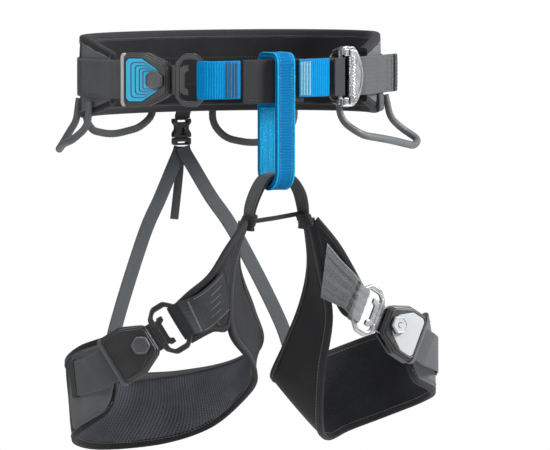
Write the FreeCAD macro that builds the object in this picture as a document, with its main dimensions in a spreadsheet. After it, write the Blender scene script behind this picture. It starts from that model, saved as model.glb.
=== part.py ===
import FreeCAD, Part
import math
import os

import Sketcher
from FreeCAD import Placement, Rotation, Vector

# Climbing harness: padded waist belt, two leg loops, belay loop, quick-connect buckles and rear risers.
# Millimetres, +Z up, -Y to the wearer's front, +X to the wearer's left. The origin is on the waist axis,
# at mid height of the waist webbing.

SIZES = {
    "waist_half_width": 169.0,
    "waist_half_depth": 109.0,
    "pad_height": 82.0,
    "pad_end_height": 52.0,
    "pad_thickness": 9.0,
    "lining_thickness": 1.6,
    "layer_gap": 0.3,
    "binding_width": 2.6,
    "webbing_width": 40.0,
    "webbing_thickness": 2.0,
    "tie_in_height": 46.0,
    "leg_pad_thickness": 5.0,
    "leg_lining_thickness": 1.3,
    "leg_strap_width": 38.0,
    "belay_width": 22.0,
    "belay_depth": 44.0,
    "belay_height": 142.8,
    "belay_fold": 9.0,
    "belay_thickness": 5.0,
    "bridge_width": 24.0,
    "bridge_thickness": 2.0,
    "cross_strap_height": 5.0,
    "riser_width": 16.0,
    "riser_thickness": 1.8,
    "tail_width": 10.0,
    "loop_tube_radius": 4.0,
    "housing_length": 52.0,
    "housing_width": 56.0,
    "housing_corner": 12.0,
    "base_height": 7.0,
    "base_below": 4.6,
    "cover_height": 7.5,
    "cover_edge": 1.6,
    "channel_width": 42.0,
    "channel_depth": 4.2,
    "plate_length": 34.0,
    "plate_width": 46.0,
    "plate_height": 1.2,
    "plate_recess": 1.0,
    "plate_corner": 9.0,
    "plate_clearance": 0.6,
    "knob_radius": 10.6,
    "knob_height": 5.5,
    "knob_edge": 1.2,
    "spindle_radius": 4.0,
    "spindle_clearance": 0.3,
    "spindle_depth": 5.0,
    "latch_length": 20.0,
    "latch_width": 24.0,
    "latch_height": 1.8,
    "latch_cavity_length": 26.0,
    "latch_cavity_width": 25.0,
    "latch_cavity_depth": 3.0,
    "frame_length": 33.0,
    "frame_width": 55.0,
    "frame_thickness": 4.0,
    "frame_corner": 8.0,
    "frame_bar": 6.5,
    "window_length": 13.0,
    "window_width": 41.5,
    "blade_length": 17.5,
    "blade_root": 1.0,
    "blade_width": 30.0,
    "blade_thickness": 2.0,
    "buckle_pitch": 46.0,
    "knob_offset": 11.0,
    "adjuster_length": 27.0,
    "adjuster_width": 62.0,
    "adjuster_thickness": 3.0,
    "adjuster_corner": 3.0,
    "adjuster_window_length": 17.0,
    "adjuster_window_width": 46.0,
    "slide_bar_length": 7.0,
    "slide_bar_thickness": 2.5,
    "backing_length": 46.0,
    "backing_width": 50.0,
    "backing_thickness": 2.5,
    "backing_depth": 7.6,
    "socket_width": 20.0,
    "socket_thickness": 9.0,
    "socket_height": 20.0,
    "socket_wall": 1.8,
    "plug_bar_height": 8.0,
    "prong_width": 3.0,
    "prong_length": 15.0,
    "prong_offset": 5.0,
    "anchor_thickness": 3.0,
    "yoke_below": 1.5,
    "yoke_above": 2.5,
}

STATION_ANGLE = 6.0
ROW_STEPS = 3

doc = FreeCAD.newDocument("ClimbingHarness")
sheet = doc.addObject("Spreadsheet::Sheet", "Sizes")
for row, (alias, value) in enumerate(SIZES.items(), start=1):
    sheet.set(f"A{row}", alias)
    sheet.set(f"B{row}", str(value))
    sheet.setAlias(f"B{row}", alias)
doc.recompute()

pieces = []


def size(alias):
    """A driving size, read from the sheet."""
    return float(sheet.get(alias))


def register(piece, name, placement=None):
    """Names a sub-part, places it and keeps it for the export."""
    piece.Label = name
    piece.Placement = placement or Placement()
    pieces.append(piece)


def add_shape(name, shape, placement=None):
    """Adds a sub-part whose shape is computed here."""
    piece = doc.addObject("Part::Feature", name)
    piece.Shape = shape
    register(piece, name, placement)


# ---- cloth and webbing ------------------------------------------------------------------------------


def smooth_line(rows, steps=ROW_STEPS):
    """Points of a smooth line through the rows, with steps spans from each row to the next."""
    rows = [Vector(*row) for row in rows]
    padded = [rows[0] * 2 - rows[1]] + rows + [rows[-1] * 2 - rows[-2]]
    line = []
    for before, start, end, after in zip(padded, padded[1:], padded[2:], padded[3:]):
        for step in range(steps):
            share = step / steps
            linear = (end - before) * share
            square = (before * 2 - start * 5 + end * 4 - after) * share**2
            cube = (start * 3 - before - end * 3 + after) * share**3
            line.append((start * 2 + linear + square + cube) * 0.5)
    line.append(rows[-1])
    return line


class Band:
    """A strip of cloth: a lower and an upper edge line, and the side that faces out."""

    def __init__(self, lower, upper, outward=1.0, normals=None):
        self.lower = lower
        self.upper = upper
        self.outward = outward
        self.normals = normals or [self.normal(index) for index in range(len(lower))]

    def middle(self, index):
        return (self.lower[index] + self.upper[index]) * 0.5

    def normal(self, index):
        """The outward normal at a station."""
        last = len(self.lower) - 1
        along = self.middle(min(index + 1, last)) - self.middle(max(index - 1, 0))
        across = self.upper[index] - self.lower[index]
        normal = along.cross(across) * self.outward
        return normal.normalize()

    def inset(self, low, high):
        """The band with its edges moved in by low and high, or out where they are negative."""
        lower = []
        upper = []
        for start, end in zip(self.lower, self.upper):
            across = (end - start).normalize()
            lower.append(start + across * low)
            upper.append(end - across * high)
        return Band(lower, upper, self.outward, self.normals)

    def edge_strip(self, at_top, width, gap):
        """A strip just outside one edge."""
        lower = []
        upper = []
        for start, end in zip(self.lower, self.upper):
            across = (end - start).normalize()
            near = end + across * gap if at_top else start - across * gap
            far = near + across * width if at_top else near - across * width
            lower.append(near if at_top else far)
            upper.append(far if at_top else near)
        return Band(lower, upper, self.outward, self.normals)

    def span(self, first, last):
        """The stations from first up to and including last."""
        stop = last + 1
        return Band(self.lower[first:stop], self.upper[first:stop], self.outward, self.normals[first:stop])

    def solid(self, inner, outer):
        """The solid between two offsets along the normals."""
        sections = []
        for low, high, normal in zip(self.lower, self.upper, self.normals):
            corners = [
                low + normal * inner,
                high + normal * inner,
                high + normal * outer,
                low + normal * outer,
            ]
            sections.append(Part.makePolygon(corners + corners[:1]))
        return Part.makeLoft(sections, True, True)


def plan_band(points, bottom, top):
    """An upright band over a plan line."""
    lower = [Vector(point.x, point.y, bottom) for point in points]
    upper = [Vector(point.x, point.y, top) for point in points]
    return Band(lower, upper)


def lining_and_binding(prefix, band, thickness, lining):
    """Adds a pad, its inner lining and the tape along both edges."""
    gap = size("layer_gap")
    tape = size("binding_width")
    add_shape(f"{prefix}_pad", band.solid(-gap - thickness, -gap))
    inner = -gap * 2 - thickness
    add_shape(f"{prefix}_lining", band.inset(1.0, 1.0).solid(inner - lining, inner))
    tapes = [
        band.edge_strip(at_top, tape, gap).solid(inner - lining, -gap)
        for at_top in (False, True)
    ]
    add_shape(f"{prefix}_binding", Part.makeCompound(tapes))


# ---- waist belt ---------------------------------------------------------------------------------------


def plan_point(angle, fullness):
    """A point of the belt's plan; a fullness under 1 gives squarer quarters than an ellipse."""
    turn = math.radians(angle)
    across = math.copysign(abs(math.sin(turn)) ** fullness, math.sin(turn))
    forward = math.copysign(abs(math.cos(turn)) ** fullness, math.cos(turn))
    return Vector(size("waist_half_width") * across, -size("waist_half_depth") * forward, 0)


def waist_point(angle, offset=0.0, fullness=1.0):
    """A plan point of the belt: the angle is from the front, towards the wearer's left."""
    step = 0.5
    along = plan_point(angle + step, fullness) - plan_point(angle - step, fullness)
    along.normalize()
    return plan_point(angle, fullness) + Vector(along.y, -along.x, 0) * offset


def waist_angles(start, end):
    """Evenly spaced angles from start to end."""
    count = max(1, round((end - start) / STATION_ANGLE))
    return [start + (end - start) * index / count for index in range(count + 1)]


PAD_LEFT_END = 46.0
PAD_RIGHT_END = 289.0
PAD_END_SWEEP = 34.0


def pad_half_height(angle):
    """Half the pad's height: full at the back, less towards the two front ends."""
    full = size("pad_height") / 2
    end = size("pad_end_height") / 2
    distance = min(angle - PAD_LEFT_END, PAD_RIGHT_END - angle)
    share = min(1.0, distance / PAD_END_SWEEP)
    return end + (full - end) * math.sin(share * math.pi / 2)


def waist_pad():
    """The padded band round the back and sides."""
    lower = []
    upper = []
    for angle in waist_angles(PAD_LEFT_END, PAD_RIGHT_END):
        point = waist_point(angle)
        half = pad_half_height(angle)
        lower.append(point - Vector(0, 0, half))
        upper.append(point + Vector(0, 0, half))
    band = Band(lower, upper)
    lining_and_binding("waist", band, size("pad_thickness"), size("lining_thickness"))


def frame_placement(origin, along, outward):
    """A placement whose X runs along the strap and whose Z points out of the body."""
    along = Vector(*along).normalize()
    outward = Vector(*outward)
    outward = (outward - along * outward.dot(along)).normalize()
    across = outward.cross(along)
    return Placement(Vector(*origin), Rotation(along, across, outward, "XZY"))


# Each buckle's frame centre, the way its strap runs towards the tongue, and the way it faces.
WAIST_BUCKLE = frame_placement((-100.0, -101.5, 0.0), (0.72, -0.694, 0.0), (-0.694, -0.72, 0.0))
RIGHT_LEG_BUCKLE = frame_placement((-135.0, -124.0, -252.0), (0.769, -0.371, 0.517), (-0.6, -0.8, 0.0))
LEFT_LEG_BUCKLE = frame_placement((95.0, -126.0, -243.0), (-0.86, -0.10, 0.50), (0.2, -0.98, 0.1))
ADJUSTER = frame_placement((85.0, -99.0, 0.0), (0.935, 0.355, 0.0), (0.355, -0.935, 0.0))

STRAP_END = -50.0
STRAP_STRAIGHT = -90.0


def local_line(placement, points):
    """World points of a plan line given in a buckle's own frame."""
    return [placement.multVec(Vector(x, 0, z)) for x, z in points]


def strap_band(placement, points, width):
    """Station lines of a strap of the given width, along a line in a buckle's own frame."""
    lower = [placement.multVec(Vector(x, -width / 2, z)) for x, z in points]
    upper = [placement.multVec(Vector(x, width / 2, z)) for x, z in points]
    return lower, upper


def fold_points(bar_near, bar_thickness, reach_under, reach_over):
    """Mid line of a strap folded round a bar, in a buckle's own frame.

    The bar's near side is at x = bar_near; both layers run on towards +X.
    """
    layer = size("webbing_thickness")
    gap = size("layer_gap")
    lift = bar_thickness / 2 + gap + layer / 2
    turn = bar_near - 3 * gap - layer / 2
    start = bar_near - gap * 2
    shoulder = lift - gap / 3
    bend = lift - layer * 0.8
    return [
        (bar_near + reach_under, -lift),
        (bar_near + 1.5, -lift),
        (start, -shoulder),
        (turn, -bend),
        (turn, bend),
        (start, shoulder),
        (bar_near + 1.5, lift),
        (bar_near + reach_over, lift),
    ]


def waist_straps():
    """The load webbing, the tie-in webbing, the blue tabs and the strap round the adjuster's bar."""
    layer = size("webbing_thickness")
    gap = size("layer_gap")
    half = size("webbing_width") / 2
    mid = gap + layer / 2

    def strap(name, points, bottom=-half, top=half):
        add_shape(name, plan_band(points, bottom, top).solid(-layer / 2, layer / 2))

    adjuster_end = local_line(ADJUSTER, [(5.0, -3.4), (16.0, -3.4), (27.0, -3.4)])
    round_back = [waist_point(angle, mid) for angle in waist_angles(PAD_LEFT_END + 4.0, 262.0)]
    side = [waist_point(angle, mid + 1.0, 0.9) for angle in (270.0, 278.0)]
    buckle_end = local_line(WAIST_BUCKLE, [(STRAP_STRAIGHT, 0), (STRAP_END, 0)])
    strap("waist_webbing", adjuster_end + round_back + side + buckle_end)

    tie_top = 21.0
    tie_in = smooth_line([(-46, -115, 0), (-22, -114.4, 0), (2, -113, 0), (27, -110.5, 0)])
    strap("tie_in_strap", tie_in, tie_top - size("tie_in_height"), tie_top)

    bar_near = size("frame_length") / 2 - size("frame_bar")
    fold = local_line(WAIST_BUCKLE, fold_points(bar_near, size("frame_thickness"), 10.0, 7.0))
    over = [(-81, -118.0, 0), (-64, -119.0, 0), (-48, -117.9, 0), (-40, -117.3, 0)]
    strap("right_blue_tab", fold + [Vector(*point) for point in over])

    strap("left_blue_tab", smooth_line([(22, -113.7, 0), (40, -110.9, 0), (56, -107.9, 0)], 2))
    bar_near = size("adjuster_window_length") / 2
    fold = fold_points(bar_near, size("adjuster_thickness"), 13.0, 15.0)
    under = [Vector(30, -108.2, 0), Vector(46, -106.4, 0)]
    fold = local_line(ADJUSTER, [(-x, z) for x, z in fold])
    strap("adjuster_strap", under + fold)


# ---- tubes --------------------------------------------------------------------------------------------


def rounded_route(points, share=0.45):
    """A wire of straight runs joined by tangent arcs, each as large as its two runs allow."""
    points = [Vector(*point) for point in points]
    edges = []
    start = points[0]
    for before, corner, after in zip(points, points[1:], points[2:]):
        back = (before - corner).normalize()
        ahead = (after - corner).normalize()
        shorter = min((before - corner).Length, (after - corner).Length)
        half_turn = (math.pi - back.getAngle(ahead)) / 2
        trim = share * shorter
        radius = trim / math.tan(half_turn)
        centre_way = (back + ahead).normalize()
        near = corner + back * trim
        far = corner + ahead * trim
        middle = corner + centre_way * (radius / math.cos(half_turn) - radius)
        edges.append(Part.LineSegment(start, near).toShape())
        edges.append(Part.Arc(near, middle, far).toShape())
        start = far
    edges.append(Part.LineSegment(start, points[-1]).toShape())
    return Part.Wire(edges)


def add_tube(name, points, radius):
    """Adds a round tube along a rounded route."""
    route = rounded_route(points)
    along = Vector(*points[1]) - Vector(*points[0])
    circle = Part.Wire([Part.Circle(Vector(*points[0]), along, radius).toShape()])
    add_shape(name, route.makePipeShell([circle], True, False))


def gear_loops():
    """Four gear loops: a moulded one on each hip and a soft one on each side of the back."""
    radius = size("loop_tube_radius")
    out = radius + size("layer_gap")
    for side, name, start, end, drop in ((1, "left", 12, 44, -80), (-1, "right", 12, 51, -66)):
        inner = waist_point(180 - side * start, out)
        outer = waist_point(180 - side * end, out)
        mid = waist_point(180 - side * (start + end) / 2, out)
        elbow = drop * 0.72
        route = [
            (inner.x, inner.y, -24),
            (inner.x, inner.y + 1, elbow),
            (inner.x + side * 16, inner.y + 1, drop + 6),
            (mid.x, mid.y + 2, drop),
            (outer.x - side * 12, outer.y + 10, drop + 6),
            (outer.x, outer.y + 1, elbow),
            (outer.x, outer.y, -24),
        ]
        add_tube(f"{name}_rear_gear_loop", route, radius)
    left = [(81, -87.5, -16), (82, -89, -46), (104, -96, -62), (150, -74, -69), (196, -44, -78),
            (207, -34, -72), (190, -27, -60), (174, -31, -48), (168, -32, -24)]
    add_tube("left_front_gear_loop", left, radius)
    right = [(-172.6, -14, -24), (-174, -13, -50), (-185, 0, -64), (-180, 34, -70), (-168, 68, -78),
             (-160, 75, -72), (-157, 66, -60), (-152, 59, -48), (-149.6, 57.4, -24)]
    add_tube("right_front_gear_loop", right, radius)


# ---- belay loop, bridge and risers ---------------------------------------------------------------------

RISER_BUCKLE = Placement(Vector(3, 121, -72), Rotation())
BELAY_CENTRE = Vector(0, -101.5, -44.6)


def ring_face(depth, height, fold):
    """A ring outline in the plane across X: straight sides, a half circle below and a folded top."""
    side = depth / 2
    low = side - height / 2
    high = height / 2
    slant = fold * math.sqrt(0.5)
    rise = Vector(0, 0, fold)
    front = Vector(0, fold - side, high - fold)
    back = Vector(0, side - fold, high - fold)
    edges = [
        Part.LineSegment(Vector(0, -side, low), Vector(0, -side, high - fold)),
        Part.Arc(Vector(0, -side, high - fold), front + Vector(0, -slant, slant), front + rise),
        Part.LineSegment(front + rise, back + rise),
        Part.Arc(back + rise, back + Vector(0, slant, slant), Vector(0, side, high - fold)),
        Part.LineSegment(Vector(0, side, high - fold), Vector(0, side, low)),
        Part.Arc(Vector(0, side, low), Vector(0, 0, -height / 2), Vector(0, -side, low)),
    ]
    return Part.Face(Part.Wire([edge.toShape() for edge in edges]))


def belay_loop():
    """The sewn ring that hangs from the tie-in webbing and carries the leg loops."""
    depth = size("belay_depth")
    height = size("belay_height")
    wall = size("belay_thickness")
    width = size("belay_width")
    fold = size("belay_fold")
    ring = ring_face(depth, height, fold)
    ring = ring.cut(ring_face(depth - 2 * wall, height - 2 * wall, fold - wall))
    ring.translate(BELAY_CENTRE - Vector(width / 2, 0, 0))
    add_shape("belay_loop", ring.extrude(Vector(width, 0, 0)))


def bridge():
    """The two layers of webbing that join the leg loops through the belay loop, and the cross strap."""
    full = size("bridge_width") / 2
    layer = size("bridge_thickness")
    gap = size("layer_gap")
    end = full - 5.0
    rows = [(-27, -94, -158, end), (-27, -94, -147, end), (-26, -95.5, -134, full - 3),
            (-22, -99, -119, full - 1), (-15, -101, -106, full), (-7, -101.5, -102.1, full),
            (8, -101.5, -102.1, full), (17, -101, -106, full), (27, -99, -119, full - 1),
            (33, -95.5, -134, full - 3), (35, -94, -147, end), (35, -94, -158, end)]
    lower = smooth_line([(x, y - half, z) for x, y, z, half in rows], 2)
    upper = smooth_line([(x, y + half, z) for x, y, z, half in rows], 2)
    band = Band(lower, upper)
    add_shape("bridge_inner", band.solid(-layer / 2, layer / 2))
    add_shape("bridge_outer", band.solid(layer / 2 + gap, layer * 1.5 + gap))
    inset = layer / 2 + gap
    ends = [Vector(-27 + inset + gap, -94, -151), Vector(35 - inset - 2 * gap, -94, -144)]
    rise = Vector(0, 0, size("cross_strap_height"))
    strap = Band(ends, [point + rise for point in ends])
    add_shape("cross_strap", strap.solid(-layer / 2, layer / 2))


def riser(name, rows, width):
    """Adds an elastic strap from the back of the waist to a leg loop; rows give its mid line."""
    half = width / 2
    thick = size("riser_thickness")
    line = smooth_line(rows, 3)
    lower = []
    upper = []
    for index, point in enumerate(line):
        along = line[min(index + 1, len(line) - 1)] - line[max(index - 1, 0)]
        across = along.cross(Vector(0, 1, 0)).normalize() * half
        lower.append(point - across)
        upper.append(point + across)
    add_shape(name, Band(lower, upper, -1.0).solid(-thick / 2, thick / 2))


def risers():
    """The two elastic risers, the loose tail and the tab that carries the buckle."""
    width = size("riser_width")
    right, left, tail = (RISER_BUCKLE.Base.y + step for step in (0.2, -3.0, 3.2))
    riser("right_riser", [(2, right, -82.3), (0, right, -89), (-9, 117, -103), (-30, 106, -135),
                          (-58, 91, -176), (-104, 66, -270), (-116, 60, -322)], width)
    riser("left_riser", [(4, left, -82.3), (6, left, -89), (13, 113.5, -103), (29, 103, -135),
                         (52, 88, -176), (94, 66, -270), (108, 58, -326)], width)
    riser("riser_tail", [(3, tail, -82), (2, tail, -110), (-3, tail + 2, -160)], size("tail_width"))
    tab_line = [(110.3, -24), (110.5, -36), (114, -42), (118, -48), (118, -51.7)]
    tab = [Vector(3, y, z) for y, z in tab_line]
    half = Vector(9, 0, 0)
    band = Band([point - half for point in tab], [point + half for point in tab])
    half_thick = size("riser_thickness") / 2
    add_shape("riser_tab", band.solid(-half_thick, half_thick))


# ---- leg loops ----------------------------------------------------------------------------------------

# Each row is a cross-section: the edge towards the knee, then the edge towards the hip.
# Rows run from the yoke down the inner thigh, under and behind it, to the outer front end.
LEFT_PAD_ROWS = [
    ((44, -101, -146), (44, -87, -148)),
    ((54, -104, -197), (57, -72, -195)),
    ((66, -101, -250), (58, -52, -240)),
    ((64, -88, -310), (54, -24, -285)),
    ((76, -62, -366), (54, 5, -318)),
    ((104, -26, -385), (78, 32, -322)),
    ((144, 2, -380), (118, 44, -310)),
    ((182, -10, -366), (168, 26, -290)),
    ((204, -46, -349), (200, -32, -267)),
    ((196, -80, -336), (192, -72, -256)),
    ((158, -98, -320), (154, -98, -264)),
]
LEFT_YOKE_ROWS = [
    ((44.6, -103, -150), (46, -106, -146)),
    ((54.6, -107, -197), (68, -114, -175)),
    ((71, -109, -240), (90, -117, -212)),
    ((84, -113, -251), (98, -116, -226)),
]
RIGHT_PAD_ROWS = [
    ((-36, -101, -146), (-36, -87, -148)),
    ((-58, -107, -197), (-36, -80, -195)),
    ((-62, -113, -258), (-22, -86, -240)),
    ((-36, -104, -290), (-4, -70, -276)),
    ((-18, -84, -314), (-14, -34, -298)),
    ((-14, -46, -340), (-50, 14, -312)),
    ((-30, -6, -370), (-88, 38, -316)),
    ((-70, 20, -386), (-118, 46, -317)),
    ((-140, 18, -388), (-160, 34, -308)),
    ((-190, -20, -376), (-196, -14, -292)),
    ((-201, -62, -358), (-199, -56, -274)),
    ((-176, -84, -336), (-174, -80, -262)),
]
RIGHT_YOKE_ROWS = [
    ((-36.8, -103, -150), (-39, -106, -146)),
    ((-58.8, -111, -197), (-65, -115, -172)),
    ((-65, -118, -252), (-88, -119, -200)),
    ((-86, -120, -257), (-112, -120, -217)),
    ((-109, -120, -267), (-127, -118, -230)),
]


def rows_band(rows, outward, steps=ROW_STEPS):
    """A smooth band through cross-section rows."""
    lower = smooth_line([low for low, high in rows], steps)
    upper = smooth_line([high for low, high in rows], steps)
    return Band(lower, upper, outward)


def leg_loop(side, pad_rows, yoke_rows, outward):
    """The cloth and webbing of one leg loop."""
    gap = size("layer_gap")
    thick = size("leg_pad_thickness")
    lining = size("leg_lining_thickness")
    tape = size("binding_width")
    pad = rows_band(pad_rows, outward)
    add_shape(f"{side}_leg_pad", pad.solid(gap, gap + thick))
    add_shape(f"{side}_leg_lining", pad.inset(1.0, 1.0).solid(-lining, 0))
    tapes = [pad.edge_strip(at_top, tape, gap).solid(-lining, gap + thick) for at_top in (False, True)]
    add_shape(f"{side}_leg_binding", Part.makeCompound(tapes))
    yoke = rows_band(yoke_rows, -outward).inset(gap + tape + 2.5, 0.0)
    add_shape(f"{side}_yoke_pad", yoke.solid(-size("yoke_below"), size("yoke_above")))


# The yoke webbing goes on from the fold over the yoke; the strap goes on behind the housing over the pad.
LEFT_YOKE_STRAP = [
    ((82, -129, -208), (69, -122, -241)),
    ((67, -120.2, -190), (57, -115.0, -234)),
    ((54, -112.8, -172), (48, -109.4, -229)),
]
RIGHT_YOKE_STRAP = [
    ((-95, -130, -256), (-110, -132, -219)),
    ((-80, -127, -247), (-90, -128, -208)),
    ((-66, -122.5, -237), (-74, -123, -196)),
]
LEFT_STRAP_END = [
    ((193, -99, -276), (188, -102, -312)),
    ((204, -80, -280), (203, -83, -317)),
    ((210, -58, -285), (210, -60, -322)),
]
RIGHT_STRAP_END = [
    ((-208, -72, -322), (-212, -68, -286)),
    ((-210, -50, -326), (-212, -46, -290)),
]


def leg_straps(side, buckle, yoke_rows, strap_rows):
    """The yoke webbing folded through the tongue frame, and the strap behind the housing."""
    layer = size("webbing_thickness")
    width = size("leg_strap_width")
    bar_near = size("frame_length") / 2 - size("frame_bar")
    fold = fold_points(bar_near, size("frame_thickness"), 8.0, 9.0)
    names = (f"{side}_yoke_webbing", f"{side}_leg_strap")
    starts = (fold, [(STRAP_END, 0), (STRAP_STRAIGHT, 0)])
    for name, start, rows in zip(names, starts, (yoke_rows, strap_rows)):
        lower, upper = strap_band(buckle, start, width)
        lower += [Vector(*low) for low, high in rows]
        upper += [Vector(*high) for low, high in rows]
        add_shape(name, Band(lower, upper).solid(-layer / 2, layer / 2))


# ---- hardware -----------------------------------------------------------------------------------------


def new_body(name):
    """An empty body for one moulded or pressed piece."""
    return doc.addObject("PartDesign::Body", name)


def plane_sketch(body, name, base=(0, 0, 0), turned=False):
    """A sketch parallel to the body's XY plane, or its XZ plane when turned."""
    role = "XZ_Plane" if turned else "XY_Plane"
    plane = next(item for item in body.Origin.OriginFeatures if item.Role == role)
    sketch = body.newObject("Sketcher::SketchObject", name)
    sketch.AttachmentSupport = [(plane, "")]
    sketch.MapMode = "FlatFace"
    for axis, value in zip("xyz", base):
        if value:
            sketch.setExpression(f"AttachmentOffset.Base.{axis}", str(value))
    return sketch


def bind(sketch, constraint, expression):
    """Adds a size constraint that follows an expression of the sheet."""
    index = sketch.addConstraint(constraint)
    sketch.setExpression(f"Constraints[{index}]", expression)


def rectangle(body, name, wide, tall, base=(0, 0, 0), turned=False):
    """A rectangle centred on the sketch's origin."""
    sketch = plane_sketch(body, name, base, turned)
    corners = [Vector(-5, -4, 0), Vector(5, -4, 0), Vector(5, 4, 0), Vector(-5, 4, 0)]
    for start, end in zip(corners, corners[1:] + corners[:1]):
        sketch.addGeometry(Part.LineSegment(start, end), False)
    for line in range(4):
        sketch.addConstraint(Sketcher.Constraint("Coincident", line, 2, (line + 1) % 4, 1))
    for line, way in enumerate(("Horizontal", "Vertical", "Horizontal", "Vertical")):
        sketch.addConstraint(Sketcher.Constraint(way, line))
    sketch.addConstraint(Sketcher.Constraint("Symmetric", 0, 1, 2, 1, -1, 1))
    bind(sketch, Sketcher.Constraint("DistanceX", 0, 1, 0, 2, 10.0), wide)
    bind(sketch, Sketcher.Constraint("DistanceY", 1, 1, 1, 2, 8.0), tall)
    return sketch


def circle(body, name, radius, base=(0, 0, 0)):
    """A circle about the sketch's origin."""
    sketch = plane_sketch(body, name, base)
    sketch.addGeometry(Part.Circle(Vector(0, 0, 0), Vector(0, 0, 1), 5.0), False)
    sketch.addConstraint(Sketcher.Constraint("Coincident", 0, 3, -1, 1))
    bind(sketch, Sketcher.Constraint("Radius", 0, 5.0), radius)
    return sketch


def hexagon(body, name, radius, base=(0, 0, 0)):
    """A hexagon about the sketch's origin with two corners on its vertical axis."""
    sketch = plane_sketch(body, name, base)
    corners = [
        Vector(5 * math.sin(turn * math.pi / 3), 5 * math.cos(turn * math.pi / 3), 0) for turn in range(6)
    ]
    for start, end in zip(corners, corners[1:] + corners[:1]):
        sketch.addGeometry(Part.LineSegment(start, end), False)
    ring = sketch.addGeometry(Part.Circle(Vector(0, 0, 0), Vector(0, 0, 1), 5.0), True)
    sketch.addConstraint(Sketcher.Constraint("Coincident", ring, 3, -1, 1))
    for line in range(6):
        sketch.addConstraint(Sketcher.Constraint("Coincident", line, 2, (line + 1) % 6, 1))
        sketch.addConstraint(Sketcher.Constraint("PointOnObject", line, 1, ring))
    for line in range(1, 6):
        sketch.addConstraint(Sketcher.Constraint("Equal", 0, line))
    sketch.addConstraint(Sketcher.Constraint("PointOnObject", 0, 1, -2))
    bind(sketch, Sketcher.Constraint("Radius", ring, 5.0), radius)
    return sketch


def pad(body, sketch, length):
    """Raises a sketch."""
    feature = body.newObject("PartDesign::Pad", sketch.Name + "Pad")
    feature.Profile = sketch
    feature.setExpression("Length", length)
    return feature


def pocket(body, sketch, length):
    """Cuts down from a sketch and checks that material went away."""
    doc.recompute()
    before = body.Shape.Volume
    feature = body.newObject("PartDesign::Pocket", sketch.Name + "Pocket")
    feature.Profile = sketch
    feature.setExpression("Length", length)
    doc.recompute()
    if not body.Shape.Volume < before:
        raise RuntimeError(f"{feature.Name} cut nothing")
    return feature


def octagon(body, name, wide, tall, corner, base=(0, 0, 0)):
    """A rectangle with its four corners cut off, centred on the sketch's origin."""
    sketch = plane_sketch(body, name, base)
    points = [(-3, -4), (3, -4), (5, -2), (5, 2), (3, 4), (-3, 4), (-5, 2), (-5, -2)]
    corners = [Vector(x, y, 0) for x, y in points]
    for start, end in zip(corners, corners[1:] + corners[:1]):
        sketch.addGeometry(Part.LineSegment(start, end), False)
    for line in range(8):
        sketch.addConstraint(Sketcher.Constraint("Coincident", line, 2, (line + 1) % 8, 1))
    for point in range(4):
        sketch.addConstraint(Sketcher.Constraint("Symmetric", point, 1, point + 4, 1, -1, 1))
    sketch.addConstraint(Sketcher.Constraint("Symmetric", 0, 1, 0, 2, -2))
    sketch.addConstraint(Sketcher.Constraint("Symmetric", 2, 1, 2, 2, -1))
    bind(sketch, Sketcher.Constraint("DistanceX", 0, 1, 0, 2, 6.0), f"{wide} - 2 * {corner}")
    bind(sketch, Sketcher.Constraint("DistanceY", 2, 1, 2, 2, 4.0), f"{tall} - 2 * {corner}")
    bind(sketch, Sketcher.Constraint("DistanceY", 0, 1, 4, 1, 8.0), tall)
    bind(sketch, Sketcher.Constraint("DistanceX", 6, 1, 2, 1, 10.0), wide)
    return sketch


def chamfer_level(body, name, level, expression):
    """Chamfers the outer edges of the body's tip that lie at one height."""
    doc.recompute()
    base = body.Tip
    edges = []
    for index, edge in enumerate(base.Shape.Edges, start=1):
        box = edge.BoundBox
        if box.ZLength < 0.001 and abs(box.ZMin - level) < 0.001:
            edges.append(f"Edge{index}")
    feature = body.newObject("PartDesign::Chamfer", name)
    feature.Base = (base, edges)
    feature.setExpression("Size", expression)
    doc.recompute()


HOUSING_X = "-Sizes.buckle_pitch"
KNOB_X = f"({HOUSING_X} + Sizes.knob_offset)"
BASE_TOP = "(Sizes.base_height - Sizes.base_below)"
COVER_TOP = f"({BASE_TOP} + Sizes.cover_height)"
SPINDLE_HOLE = "(Sizes.spindle_radius + Sizes.spindle_clearance)"


def housing_base(name, placement):
    """The lower half of the housing, with the channel for the strap and the tongue."""
    body = new_body(name)
    outline = ("Sizes.housing_length", "Sizes.housing_width", "Sizes.housing_corner")
    foot = (HOUSING_X, 0, "-Sizes.base_below")
    pad(body, octagon(body, f"{name}_outline", *outline, foot), "Sizes.base_height")
    channel = ("Sizes.housing_length * 1.2", "Sizes.channel_width", (HOUSING_X, 0, BASE_TOP))
    pocket(body, rectangle(body, f"{name}_channel", *channel), "Sizes.channel_depth")
    register(body, name, placement)


def housing_cover(name, placement):
    """The upper half of the housing: a recess for the face plate, a spindle hole and the latch cavity."""
    body = new_body(name)
    outline = ("Sizes.housing_length", "Sizes.housing_width", "Sizes.housing_corner")
    pad(body, octagon(body, f"{name}_outline", *outline, (HOUSING_X, 0, BASE_TOP)), "Sizes.cover_height")
    top = size("base_height") - size("base_below") + size("cover_height")
    chamfer_level(body, f"{name}_edge", top, "Sizes.cover_edge")
    recess = octagon(body, f"{name}_recess", "(Sizes.plate_length + Sizes.plate_clearance)",
                     "(Sizes.plate_width + Sizes.plate_clearance)", "Sizes.plate_corner",
                     (HOUSING_X, 0, COVER_TOP))
    pocket(body, recess, "Sizes.plate_recess")
    pocket(body, circle(body, f"{name}_hole", SPINDLE_HOLE, (KNOB_X, 0, COVER_TOP)), "Sizes.cover_height")
    cavity = rectangle(body, f"{name}_cavity", "Sizes.latch_cavity_length", "Sizes.latch_cavity_width",
                       (KNOB_X, 0, f"{BASE_TOP} + Sizes.latch_cavity_depth"))
    pocket(body, cavity, "Sizes.latch_cavity_depth")
    register(body, name, placement)


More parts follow.
